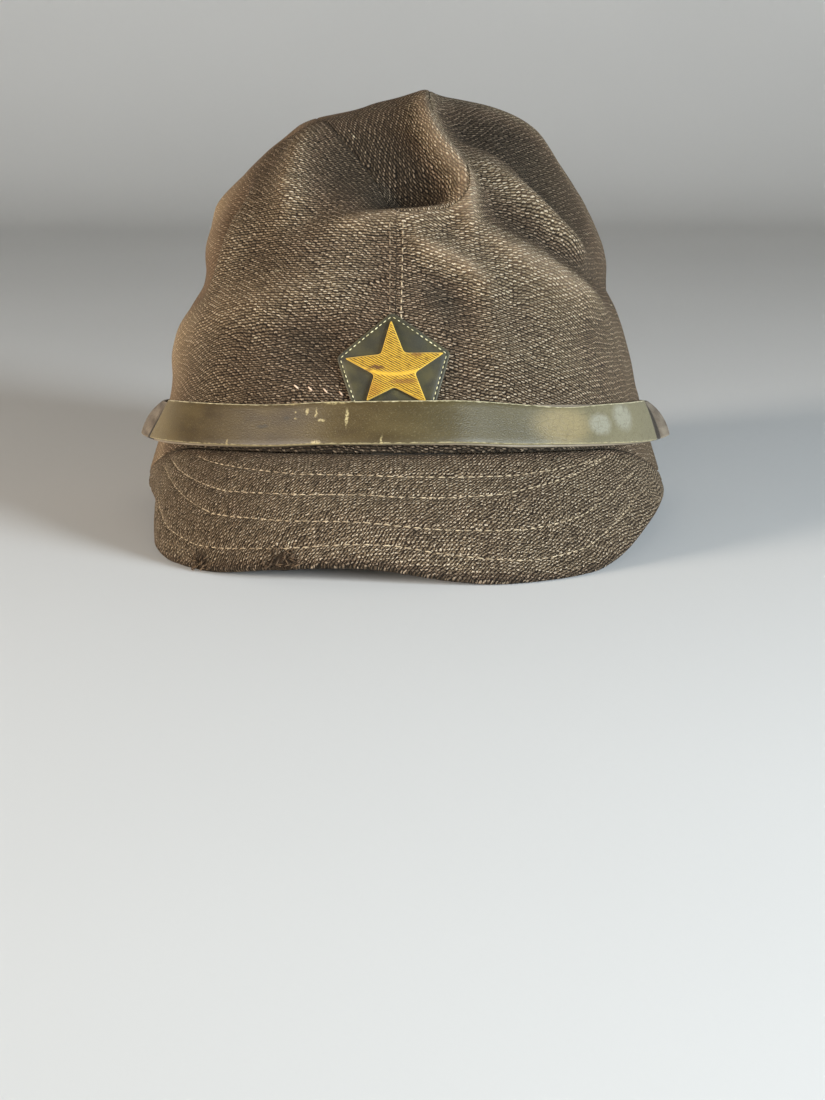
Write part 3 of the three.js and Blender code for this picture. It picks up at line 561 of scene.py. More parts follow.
class Nodes:
    """Node tree of a material, built by plain calls."""

    def __init__(self, name):
        self.material = bpy.data.materials.new(name)
        self.material.use_nodes = True
        self.tree = self.material.node_tree
        self.tree.nodes.clear()
        self.output = self.tree.nodes.new("ShaderNodeOutputMaterial")

    def put(self, socket, value):
        if isinstance(value, bpy.types.NodeSocket):
            self.tree.links.new(value, socket)
        else:
            socket.default_value = value

    def add(self, kind, inputs=None, **settings):
        node = self.tree.nodes.new(kind)
        for name, value in settings.items():
            setattr(node, name, value)
        for name, value in (inputs or {}).items():
            self.put(node.inputs[name], value)
        return node

    def math(self, operation, *values):
        node = self.add("ShaderNodeMath", operation=operation)
        for socket, value in zip(node.inputs, values):
            self.put(socket, value)
        return node.outputs[0]

    def vector(self, operation, *values):
        node = self.add("ShaderNodeVectorMath", operation=operation)
        for socket, value in zip(node.inputs, values):
            self.put(socket, value)
        return node.outputs[0]

    def mix(self, share, first, second, blend="MIX"):
        node = self.add("ShaderNodeMix", data_type="RGBA", blend_type=blend)
        for index, value in ((0, share), (6, first), (7, second)):
            self.put(node.inputs[index], value)
        return node.outputs[2]

    def noise(self, place, scale, detail=2.0, output="Fac"):
        node = self.add("ShaderNodeTexNoise", {"Vector": place, "Scale": scale, "Detail": detail})
        return node.outputs[output]

    def spread(self, value, low, high, first=0.0, second=1.0):
        """Value taken from one span to another, smoothly and no further."""
        node = self.add("ShaderNodeMapRange", interpolation_type="SMOOTHSTEP")
        for name, number in zip(("From Min", "From Max", "To Min", "To Max"), (low, high, first, second)):
            node.inputs[name].default_value = number
        self.put(node.inputs["Value"], value)
        return node.outputs["Result"]

    def map(self, label):
        return self.add("ShaderNodeUVMap", uv_map=label).outputs[0]

    def parts(self, place):
        node = self.add("ShaderNodeSeparateXYZ", {"Vector": place})
        return node.outputs[0], node.outputs[1]

    def spot(self, place, middle, size):
        """1 at the middle of a soft oval and 0 from its edge on."""
        offset = self.vector("SUBTRACT", place, (*middle, 0))
        scaled = self.vector("DIVIDE", offset, (*size, 1))
        node = self.add("ShaderNodeVectorMath", operation="LENGTH")
        self.put(node.inputs[0], scaled)
        return self.spread(node.outputs["Value"], 0.35, 1.0, 1.0, 0.0)

    def bump(self, height, distance, normal=None):
        node = self.add("ShaderNodeBump", {"Height": height, "Distance": distance})
        if normal is not None:
            self.put(node.inputs["Normal"], normal)
        return node.outputs[0]

    def surface(self, colour, roughness, normal, **constants):
        shader = self.add("ShaderNodeBsdfPrincipled", {"Base Color": colour, "Roughness": roughness})
        self.put(shader.inputs["Normal"], normal)
        for name, value in constants.items():
            shader.inputs[name.replace("_", " ").title().replace("Ior", "IOR")].default_value = value
        self.put(self.output.inputs["Surface"], shader.outputs[0])
        return self.material

    def threads(self, place, period, dash, width):
        """Rows of short threads, each row moved on from the last: their height, and two random numbers for each."""
        u, v = self.parts(place)
        a = self.math("DIVIDE", v, width)
        row = self.math("FLOOR", a)
        b = self.math("ADD", self.math("DIVIDE", u, period), self.math("MULTIPLY", row, ROW_SHIFT))
        cell = self.add("ShaderNodeCombineXYZ", {"X": self.math("FLOOR", b), "Y": row}).outputs[0]
        random = self.add("ShaderNodeTexWhiteNoise", {"Vector": cell}, noise_dimensions="2D")
        first, second, third = self.add("ShaderNodeSeparateColor", {"Color": random.outputs["Color"]}).outputs
        off = self.math("ADD", self.math("FRACT", b), self.math("MULTIPLY", first, 0.22))
        x = self.math("MULTIPLY", self.math("SUBTRACT", off, 0.61), 2 * period / dash)
        lift = self.math("ADD", self.math("FRACT", a), self.math("MULTIPLY", second, 0.24))
        y = self.math("MULTIPLY", self.math("SUBTRACT", lift, 0.62), 2.5)
        y = self.math("SUBTRACT", y, self.math("MULTIPLY", x, DASH_LEAN))
        across = self.math("POWER", self.math("ABSOLUTE", y), 2.0)
        along = self.math("POWER", self.math("ABSOLUTE", x), 2.5)
        high = self.math("MAXIMUM", self.math("SUBTRACT", 1.0, across), 0.0)
        long = self.math("MAXIMUM", self.math("SUBTRACT", 1.0, along), 0.0)
        return self.math("MULTIPLY", high, long), random.outputs["Value"], third

    def ribs(self, place, width):
        """Height of long ribs that run along the first axis."""
        share = self.math("FRACT", self.math("DIVIDE", self.parts(place)[1], width))
        off = self.math("MULTIPLY", self.math("SUBTRACT", share, 0.5), 2.0)
        return self.math("SUBTRACT", 1.0, self.math("POWER", self.math("ABSOLUTE", off), 2.0))

    def stirred(self, place, scale, amount):
        """The place, moved about by soft noise."""
        noise = self.noise(place, scale, 1.0, "Color")
        offset = self.vector("MULTIPLY", self.vector("SUBTRACT", noise, (0.5, 0.5, 0.5)), (amount, amount, 0))
        return self.vector("ADD", place, offset)


# Rows of threads: how far each moves on, and how much a thread leans in its row
ROW_SHIFT = 0.41
DASH_LEAN = -0.35

# Colours of the wool: the gap and pit colours are painted shade between threads, the hollow colour is painted shade
# in folds, and the soft and light colours are painted highlights on thread crests
WOOL_GAP_SHADE = srgb(27, 20, 13)
WOOL_PIT_SHADE = srgb(15, 11, 7)
WOOL_HOLLOW_SHADE = srgb(68, 56, 42)
WOOL_DEEP = srgb(116, 93, 71)
WOOL_BODY = srgb(156, 133, 102)
WOOL_SOFT_HIGHLIGHT = srgb(212, 186, 156)
WOOL_CREST_HIGHLIGHT = srgb(252, 234, 204)
WOOL_FLECK = srgb(212, 196, 164)
WOOL_WORN = srgb(44, 34, 25)
WOOL_FUZZ = srgb(232, 208, 174)


def wool_material(name, period, dash, width, loose, spots=()):
    """Coarse wool: short threads with painted highlights on their crests over a ground darkened as painted shade,
    paler on the ridges from rubbing and painted highlight, and painted shade in the hollows.
    """
    nodes = Nodes(name)
    place = nodes.map("Weave")
    stirred = nodes.stirred(nodes.stirred(nodes.stirred(place, 0.06, 4.0), 0.5, 0.6), 1.2, loose)
    height, random, other = nodes.threads(stirred, period, dash, width)
    beside = nodes.vector("ADD", stirred, (period / 2, 0.0, 0.0))
    under = nodes.math("MULTIPLY", nodes.threads(beside, period, dash, width)[0], 0.6)
    fibre = nodes.noise(nodes.vector("MULTIPLY", place, (1.0, 2.0, 1)), 2.6, 3.0)
    shade_and_wear, nap = nodes.parts(nodes.map("ShadeAndWear"))
    cloud = nodes.math("SUBTRACT", nodes.noise(place, 0.04, 3.0), 0.5)
    # Paler on the ridges: rubbed wear and painted highlight
    rubbed_and_lit = nodes.spread(nodes.math("ADD", shade_and_wear, nodes.math("MULTIPLY", cloud, 0.55)), 0.3, 0.85)
    body = nodes.mix(rubbed_and_lit, WOOL_DEEP, WOOL_BODY)
    # Painted highlight on the threads' crests, paler on the ridges
    crest_highlight = nodes.mix(rubbed_and_lit, WOOL_SOFT_HIGHLIGHT, WOOL_CREST_HIGHLIGHT)
    # Painted shade: the dark ground between the threads, lighter on the ridges and darkest in the hollows
    gap = nodes.mix(nodes.spread(shade_and_wear, 0.55, 0.95, 0.0, 0.35), WOOL_GAP_SHADE, WOOL_DEEP)
    height = nodes.math("MAXIMUM", height, under)
    rough = nodes.math("MULTIPLY", height, nodes.spread(fibre, 0.3, 0.7, 0.45, 1.0))
    # Painted shade in the hollows of the folds
    hollow_shade = nodes.spread(shade_and_wear, 0.02, 0.45, 1.0, 0.0)
    gap = nodes.mix(hollow_shade, gap, WOOL_PIT_SHADE)
    deep = nodes.mix(hollow_shade, body, WOOL_HOLLOW_SHADE)
    crest_highlight = nodes.mix(nodes.math("MULTIPLY", hollow_shade, 0.5), crest_highlight, WOOL_HOLLOW_SHADE)
    colour = nodes.mix(nodes.spread(rough, 0.09, 0.48), gap, deep)
    colour = nodes.mix(nodes.spread(random, 0.0, 0.5, 0.4, 0.0), colour, WOOL_GAP_SHADE)
    # Painted highlight on the highest threads
    crest_highlight_mask = nodes.math("MULTIPLY", nodes.spread(rough, 0.42, 0.8), nodes.spread(random, 0.0, 0.8, 0.2, 1.0))
    colour = nodes.mix(crest_highlight_mask, colour, crest_highlight)
    colour = nodes.mix(nodes.math("MULTIPLY", nap, 0.55), colour, body)
    # Palest on the highest ridges: rubbed wear and painted highlight
    colour = nodes.mix(nodes.spread(shade_and_wear, 0.8, 1.0, 0.0, 0.15), colour, WOOL_SOFT_HIGHLIGHT)
    fleck = nodes.math("MULTIPLY", nodes.spread(other, 0.996, 0.999), nodes.spread(height, 0.3, 0.8))
    colour = nodes.mix(fleck, colour, WOOL_FLECK)
    if spots:
        worn_place = nodes.map("Place")
        for middle, size in spots:
            colour = nodes.mix(nodes.spot(worn_place, middle, size), colour, WOOL_WORN)
    relief = nodes.math("MULTIPLY", rough, nodes.spread(nap, 0.0, 1.0, 1.0, 0.45))
    normal = nodes.bump(relief, 0.0012)
    return nodes.surface(
        colour, 0.92, normal, sheen_weight=0.08, sheen_roughness=0.4, sheen_tint=WOOL_FUZZ, specular_ior_level=0.1
    )


def doubled(maps):
    """Maps of one face of a sheet, for both of its faces."""
    return {label: np.concatenate([values, values]) for label, values in maps.items()}


def crown_uv(points, rows, columns, angle):
    flat = flatten(points)
    heading = flat[-1, 1] - flat[-1, 0]
    flat = turned(flat, angle, heading)
    return resample(flat, rows, columns).reshape(-1, 2)


def side_places(side, down, t, gap):
    angle = side * column_at(SEAM_RIM_ANGLE, t)
    seam_across, seam_along = seam_at(side, t, -gap)
    rim_across, rim_along = on_pattern(rim_share(angle), angle)
    return seam_across + (rim_across - seam_across) * down, seam_along + (rim_along - seam_along) * down


SIDE_ROWS = 120
SIDE_COLUMNS = 210
FLAT_ROWS = 18
FLAT_COLUMNS = 44


def side_panel(name, side, material, grain):
    """Woven side panel, its edges turned in at the seams and the rim."""
    down, t = np.meshgrid(np.linspace(0, 1, FLAT_ROWS), np.linspace(0, 1, FLAT_COLUMNS), indexing="ij")
    coarse = crown_at(*side_places(side, down, t, 0), fine=False)
    width = np.linalg.norm(np.diff(coarse, axis=1), axis=-1).sum(1).mean()
    lengths = np.linalg.norm(np.diff(coarse, axis=0), axis=-1).sum(0)
    columns = graded(SIDE_COLUMNS, width)
    length = np.interp(columns, np.linspace(0, 1, FLAT_COLUMNS), lengths)
    down = graded(SIDE_ROWS, length)
    t = np.broadcast_to(columns, down.shape)
    at_seam = np.minimum(down * length, np.minimum(t, 1 - t) * width)
    at_rim = np.where(np.abs(side * column_at(SEAM_RIM_ANGLE, t)) < PEAK_RIM_ANGLE[-1], SEAM_ROUNDING, WALL / 2)
    edge = np.minimum(rounding(at_seam, SEAM_ROUNDING), rounding((1 - down) * length, at_rim))
    across, along = side_places(side, down, t, SEAM_GAP / 2)
    grids = []
    for outwards in (edge, -WALL - edge):
        places = crown_at(across, along, outwards)
        places[:, [0, -1], 0] = side * SEAM_GAP / 2
        grids.append(pressed(places))
    places, faces = shell(*grids)
    maps = {"Weave": crown_uv(coarse, down, t, grain), "ShadeAndWear": crown_shade_and_wear(across, along, at_seam)}
    return make_piece(name, places, faces, material, doubled(maps))


TOP_ROWS = 170
TOP_ACROSS = 56


def top_panel(name, material, grain):
    def places_at(t, sideways, gap):
        left = seam_at(-1, t, gap)
        right = seam_at(1, t, gap)
        return [a + (b - a) * sideways for a, b in zip(left, right)]

    t, sideways = np.meshgrid(np.linspace(0, 1, 40), np.linspace(0, 1, 12), indexing="ij")
    coarse = crown_at(*places_at(t, sideways, 0), fine=False)
    length = np.linalg.norm(np.diff(coarse, axis=0), axis=-1).sum(0).mean()
    widths = np.linalg.norm(np.diff(coarse, axis=1), axis=-1).sum(1)
    rows = graded(TOP_ROWS, length)
    width = np.maximum(np.interp(rows, np.linspace(0, 1, 40), widths), 2.2 * EDGE_DEPTHS[-1])
    sideways = graded(TOP_ACROSS, width).T
    t = np.broadcast_to(rows[:, None], sideways.shape)
    depth = np.minimum(np.minimum(sideways, 1 - sideways) * width[:, None], np.minimum(t, 1 - t) * length)
    edge = rounding(depth, SEAM_ROUNDING)
    across, along = places_at(t, sideways, SEAM_GAP / 2)
    places, faces = shell(crown_at(across, along, edge), crown_at(across, along, -WALL - edge))
    flat = turned(flatten(coarse), grain, (1, 0))
    maps = {"Weave": resample(flat, t, sideways).reshape(-1, 2), "ShadeAndWear": crown_shade_and_wear(across, along, depth)}
    return make_piece(name, places, faces, material, doubled(maps))


def peak_at(t, out):
    """Upper face of the peak: tucked under the rim where out is below 0, then sloping to its edge."""
    angle = column_at(PEAK_RIM_ANGLE, t)
    across, along = on_pattern(rim_share(angle), angle)
    zero = np.zeros(np.shape(t))
    tucked = crown_at(across, along, zero - WALL, fine=False)
    joint = crown_at(across, along, zero + PEAK_GAP, fine=False)
    tucked[..., 2] -= PEAK_GAP
    joint[..., 2] = tucked[..., 2]
    edge = np.stack([column_at(c, t) for c in (PEAK_SIDE, PEAK_BACK, PEAK_HEIGHT)], -1)
    slope = edge - joint
    tangent = unit(np.stack([-joint[..., 1], joint[..., 0], zero], -1))
    rise = unit(np.cross(slope, tangent))
    bulge = PEAK_BULGE * np.sin(math.pi * t) ** 2
    outer = np.maximum(out, 0)
    places = joint + slope * outer[..., None] + rise * (bulge * 4 * outer * (1 - outer))[..., None]
    return places + (tucked - joint) * np.maximum(-out, 0)[..., None]


def peak_frame(t, out):
    """Place and outward normal on the peak's upper face."""
    place = peak_at(t, out)
    outer = np.maximum(out, STEP)
    along = peak_at(np.minimum(1, t + STEP), outer) - peak_at(np.maximum(0, t - STEP), outer)
    slope = peak_at(t, np.minimum(1, outer + STEP)) - peak_at(t, outer - STEP)
    return place, unit(np.cross(slope, along))


def row_out(row, t):
    """How far out a row of stitches runs at places round the peak."""
    return np.interp(t, *row)


PEAK_COLUMNS_FINE = 230
PEAK_ROWS_FINE = 56
ROW_DEPTH = 0.45
ROW_WIDTH = 0.024


def peak_push(t, out):
    """Lumps of the peak's cloth, drawn in along its rows of stitches."""
    push = 0.22 * lumps(t * 260, out * 50, 9, 5) + 0.1 * lumps(t * 260, out * 50, 4, 6)
    for row in PEAK_ROWS.values():
        inside = ease(t, row[0][0] - 0.03, row[0][0]) * (1 - ease(t, row[0][-1], row[0][-1] + 0.03))
        push = push - ROW_DEPTH * inside * np.exp(-(((out - row_out(row, t)) / ROW_WIDTH) ** 2))
    for middle, height, size in WORN_SPOTS:
        push = push - 1.2 * np.exp(-(((t - middle) / size) ** 2) - ((out - height) / 0.06) ** 2)
    return push


def peak_piece(name, material, grain):
    t, out = np.meshgrid(np.linspace(0, 1, 48), np.linspace(0, 1, 12), indexing="ij")
    coarse = peak_at(t, out)
    length = np.linalg.norm(np.diff(coarse, axis=0), axis=-1).sum(0).mean()
    widths = np.linalg.norm(np.diff(coarse, axis=1), axis=-1).sum(1)
    rows = graded(PEAK_COLUMNS_FINE, length)
    width = np.interp(rows, np.linspace(0, 1, 48), widths)[:, None]
    tuck = -1 + np.array([0, 0.25, 0.6, 0.85])
    out = np.concatenate([
        np.broadcast_to(tuck, (len(rows), len(tuck))),
        np.linspace(0, 1, PEAK_ROWS_FINE)[None, :-1] * (1 - EDGE_DEPTHS[-1] / width),
        1 - EDGE_DEPTHS[::-1] / width,
    ], axis=1)
    t = np.broadcast_to(rows[:, None], out.shape)
    depth = np.minimum((1 - out) * width, np.minimum(t, 1 - t) * length)
    depth = np.minimum(depth, np.where(out < 0, (out + 1) * WALL + 0.4, depth))
    edge = rounding(depth, PEAK_THICKNESS / 2)
    place, normal = peak_frame(t, out)
    normal = np.where((out < -0.5)[..., None], np.array([0.0, 0, 1]), normal)
    push = np.where(out > 0, peak_push(t, out) * ease(out, 0, 0.08), 0)
    upper = pressed(place + normal * (edge + push)[..., None])
    lower = pressed(place - normal * (PEAK_THICKNESS + edge)[..., None])
    places, faces = shell(upper, lower)
    flat = flatten(coarse)
    flat = turned(flat, grain, (1, 0))
    weave = resample(flat, t, out).reshape(-1, 2)
    plan = np.stack([t, np.maximum(out, 0)], -1).reshape(-1, 2)
    # Painted shade: darker next to the joint under the strap and along the outer edge where it turns under
    shade_and_wear = PEAK_WEAR * ease(out, -PEAK_SHADED / 2, PEAK_SHADED) - PEAK_EDGE_SHADE * ease(out, 0.93, 1.0)
    shade_and_wear = np.stack([shade_and_wear, 0 * shade_and_wear], -1).reshape(-1, 2)
    return make_piece(name, places, faces, material, doubled({"Weave": weave, "Place": plan, "ShadeAndWear": shade_and_wear}))


def strap_stands_off(angle, height):
    """Distance of the under strap's inner face from the crown; its loops curve in at the top."""
    across, along = on_pattern(share_at_height(STRAP_HEIGHT), angle)
    from_middle = np.abs(plain_crown(across, along)[..., 0] - BADGE_SIDE)
    over_badge = np.where(along < 0, 1 - ease(from_middle, BADGE_CLEARS_FROM, BADGE_CLEARS_TO), 0)
    badge = over_badge * 2 * (BADGE_THICKNESS + PIECE_GAP)
    loop = LOOP_STANDS_OFF * np.exp(-(((np.abs(angle) - LOOP_ANGLE) / LOOP_SPREAD) ** 2))
    up = np.clip((height + 1) / 2, 0, None)
    return PIECE_GAP + badge + loop * (1 - LOOP_LEAN * up ** LOOP_CURVE)


def strap_at(angle, height, outwards):
    """Place on the strap: height is -1 at its lower edge and 1 at its upper edge."""
    middle = STRAP_HEIGHT - STRAP_DROOP * (1 - np.cos(np.radians(angle)))
    bottom = plain_crown(*on_pattern(share_at_height(middle - STRAP_WIDTH / 2), angle))
    top = plain_crown(*on_pattern(share_at_height(middle + STRAP_WIDTH / 2), angle))
    normal = crown_normal(*on_pattern(share_at_height(middle), angle))
    place = bottom + (top - bottom) * ((height + 1) / 2)[..., None]
    return place + normal * (strap_stands_off(angle, height) + outwards)[..., None]


def strap_profile(thickness, corner):
    """Rounded section of a strap: heights from -1 to 1 and distances outwards."""
    half = STRAP_WIDTH / 2
    steps = np.radians(np.array([0, 30, 60, 90]))
    flat = np.linspace(-1, 1, 9)[1:-1]
    top = np.stack([half - corner + corner * np.sin(steps), thickness - corner + corner * np.cos(steps)], -1)
    turn = np.stack([half - corner + corner * np.cos(steps), corner - corner * np.sin(steps)], -1)
    rising = np.concatenate([top, turn])
    outer = np.stack([flat * (half - corner), flat * 0 + thickness], -1)
    falling = rising[::-1] * [-1, 1]
    inner = np.stack([-flat * (half - corner), flat * 0], -1)
    section = np.concatenate([outer, rising, inner, falling])
    return section[:, 0] / half, section[:, 1]


def strap_piece(name, first, last, slant, columns, inner, thickness, corner, material, wave):
    heights, outs = strap_profile(thickness, corner)
    t = np.linspace(0, 1, columns)[:, None]
    angle = first + (last - first) * t + 0 * heights
    angle = angle + slant * (heights + 1) / 2 * (1 - ease(angle, first, first + SLANT_REACH))
    waved = heights + wave(angle, heights) / (STRAP_WIDTH / 2)
    ends = np.minimum(t, 1 - t) * columns
    tuck = 1 - 0.5 * np.exp(-((ends / 0.6) ** 2))
    rings = strap_at(angle, waved, inner + thickness / 2 + (outs - thickness / 2) * tuck)
    places, faces = tube(rings)
    dense = np.linspace(first, last, 4 * columns)
    middle = strap_at(dense, 0 * dense, 0 * dense)
    run = np.concatenate([[0], np.cumsum(np.linalg.norm(np.diff(middle, axis=0), axis=-1))])
    along = np.interp(angle, dense, run)
    up = np.broadcast_to((heights + 1) / 2 * STRAP_WIDTH, rings.shape[:2])
    plan = np.stack([along, up], -1).reshape(-1, 2)
    plan = np.concatenate([plan, [[0, STRAP_WIDTH / 2], [run[-1], STRAP_WIDTH / 2]]])
    # How far past the outer strap's ends a place lies, for the painted shadow on the under strap
    start = OUTER_FROM + OUTER_SLANT * (heights + 1) / 2
    beyond = np.maximum(angle - OUTER_TO, start - angle) * run[-1] / (last - first)
    beyond = np.append(beyond.ravel(), [STRAP_WIDTH, STRAP_WIDTH])
    maps = {"Place": plan, "Edge": np.stack([beyond, 0 * beyond], -1)}
    return make_piece(name, places, outward_faces(places, faces), material, maps, weld=False)


def front_at(side, height, outwards):
    """Place on the front of the crown at a side and a height, in mm."""
    share = share_at_height(height)
    angle = np.zeros(np.shape(side))
    for _ in range(10):
        now = plain_crown(*on_pattern(share, angle))[..., 0]
        reach = plain_crown(*on_pattern(share, angle + 1))[..., 0] - now
        angle = angle + (side - now) / reach
    return crown_at(*on_pattern(share, angle), outwards, fine=False)


def on_circle(radius, turn):
    return np.array([-radius * math.sin(2 * math.pi * turn), radius * math.cos(2 * math.pi * turn)])


def outline(corners, count, softening):
    """Closed outline through the corners, with a number of points to each side and softened corners."""
    points = []
    for first, second in zip(corners, np.roll(corners, -1, axis=0)):
        points += [first + (second - first) * k / count for k in range(count)]
    points = np.array(points)
    for _ in range(softening):
        points = (np.roll(points, 1, axis=0) + 2 * points + np.roll(points, -1, axis=0)) / 4
    return points


BADGE_RINGS = np.array([
    0.02, 0.12, 0.24, 0.36, 0.48, 0.58, 0.68, 0.76, 0.83, 0.88, 0.91, 0.93, 0.95, 0.965, 0.98, 0.99, 0.995, 1.0,
])
PATCH_ROW = 0.93


def badge_piece(name, rim, inner, material, push):
    """Flat figure laid on the front of the crown, its edge rounded over."""
    rings = BADGE_RINGS[:, None, None] * rim[None]
    side, height = BADGE_SIDE + rings[..., 0], BADGE_HEIGHT + rings[..., 1]
    edge = rounding((1 - BADGE_RINGS) * 16, BADGE_THICKNESS / 2)[:, None]
    top = front_at(side, height, inner + BADGE_THICKNESS + edge + push(rings))
    low = front_at(side, height, inner - edge + 0 * side)
    bands = np.concatenate([top, low[::-1]])
    places, faces = tube(bands)
    plan = np.concatenate([rings, rings[::-1]]).reshape(-1, 2)
    plan = np.concatenate([plan, [[0, 0], [0, 0]]])
    share = np.repeat(np.concatenate([BADGE_RINGS, BADGE_RINGS[::-1]]), len(rim))
    share = np.concatenate([share, [0, 0]])
    maps = {"Place": plan, "Edge": np.stack([share, 0 * share], -1)}
    return make_piece(name, places, outward_faces(places, faces), material, maps)


STITCH_SIDES = 6
STITCH_RINGS = [(-0.5, 0.25), (-0.36, 0.8), (-0.12, 1.0), (0.12, 1.0), (0.36, 0.8), (0.5, 0.25)]


def stitch_piece(name, runs, length, radius, material, sink=0.35):
    """Row of stitches: each run is a list of places and outward normals evenly spaced along it."""
    all_places, all_faces = [], []
    count = 0
    for places, normals, ahead in runs:
        for place, normal, heading in zip(places, normals, ahead):
            sideways = np.cross(normal, heading)
            rings = []
            for along, share in STITCH_RINGS:
                lift = radius * (0.6 - sink - 2.2 * along**2)
                centre = place + heading * along * length + normal * lift
                turns = 2 * math.pi * np.arange(STITCH_SIDES) / STITCH_SIDES
                circle = np.cos(turns)[:, None] * sideways + np.sin(turns)[:, None] * normal
                rings.append(centre + circle * radius * share)
            body, faces = tube(np.array(rings))
            faces = outward_faces(body - place, faces)
            all_places.append(body)
            all_faces += [[corner + count for corner in face] for face in faces]
            count += len(body)
    return make_piece(name, np.concatenate(all_places), all_faces, material, weld=False)


def evenly(path, spacing, seed, wander=0.12):
    """Even shares of a path given as dense places, with a little unevenness."""
    run = np.concatenate([[0], np.cumsum(np.linalg.norm(np.diff(path, axis=0), axis=-1))])
    count = max(2, int(run[-1] / spacing))
    at = (np.arange(count) + 0.5 + wander * (scatter(np.arange(count), seed) - 0.5)) / count
    return np.interp(at * run[-1], run, np.linspace(0, 1, len(path)))


def surface_run(place_at, normal_at, spacing, seed):
    """Places, normals and headings of stitches along a curve on a surface, from share 0 to 1."""
    dense = np.linspace(0, 1, 400)
    share = evenly(place_at(dense), spacing, seed)
    places = place_at(share)
    ahead = unit(place_at(np.minimum(1, share + STEP)) - place_at(np.maximum(0, share - STEP)))
    normals = normal_at(share)
    return places, unit(normals - ahead * (normals * ahead).sum(-1, keepdims=True)), ahead


def crown_run(across_at, along_at, spacing, seed, outwards=0.0):
    def place_at(share):
        return crown_at(across_at(share), along_at(share), np.zeros(np.shape(share)) + outwards)

    return surface_run(place_at, lambda s: crown_normal(across_at(s), along_at(s)), spacing, seed)


def peak_run(row, spacing, seed):
    first, last = row[0][0], row[0][-1]

    def at(share):
        t = first + (last - first) * share
        return t, row_out(row, t)

    def place_at(share):
        t, out = at(share)
        place, normal = peak_frame(t, out)
        return place + normal * peak_push(t, out)[..., None]

    return surface_run(place_at, lambda s: peak_frame(*at(s))[1], spacing, seed)


def badge_run(rim, inner, spacing, seed):
    closed = np.concatenate([rim, rim[:1]])
    index = np.linspace(0, 1, len(closed))

    def at(share):
        return [np.interp(share, index, closed[:, k]) + middle for k, middle in ((0, BADGE_SIDE), (1, BADGE_HEIGHT))]

    def place_at(share):
        side, height = at(share)
        return front_at(side, height, 0 * side + inner)

    def normal_at(share):
        side, height = at(share)
        return unit(front_at(side, height, 0 * side + 1) - front_at(side, height, 0 * side))

    return surface_run(place_at, normal_at, spacing, seed)


# Marks on the olive strap: along and up, then half the length and half the height, in millimetres
PALE_MARKS = {
    "long_scratch": (97.1, 7.4, 0.55, 3.7),
    "short_scratch": (89.4, 6.9, 1.6, 0.5),
    "smear": (84.5, 9.6, 0.6, 1.6),
    "second_smear": (87.6, 9.2, 0.5, 1.8),
    "nick_left": (56.4, 0.0, 0.6, 2.0),
    "nick_middle": (88.1, 0.0, 2.2, 1.5),
    "nick_right": (107.5, 0.0, 0.6, 2.4),
    "top_chip": (79.0, 12.6, 4.0, 1.0),
    "second_top_chip": (93.0, 12.4, 5.0, 1.0),
    "speck": (80.6, 9.5, 0.5, 0.4),
    "second_speck": (80.9, 7.7, 0.5, 0.4),
}
DARK_MARKS = {
    "scar": (77.7, 7.9, 1.5, 0.9),
    "smudge": (69.0, 5.4, 3.0, 0.8),
}
WORN_RINGS = {
    "large": (196.6, 8.0, 8.8, 6.0),
    "small": (182.4, 6.0, 7.6, 4.8),
}


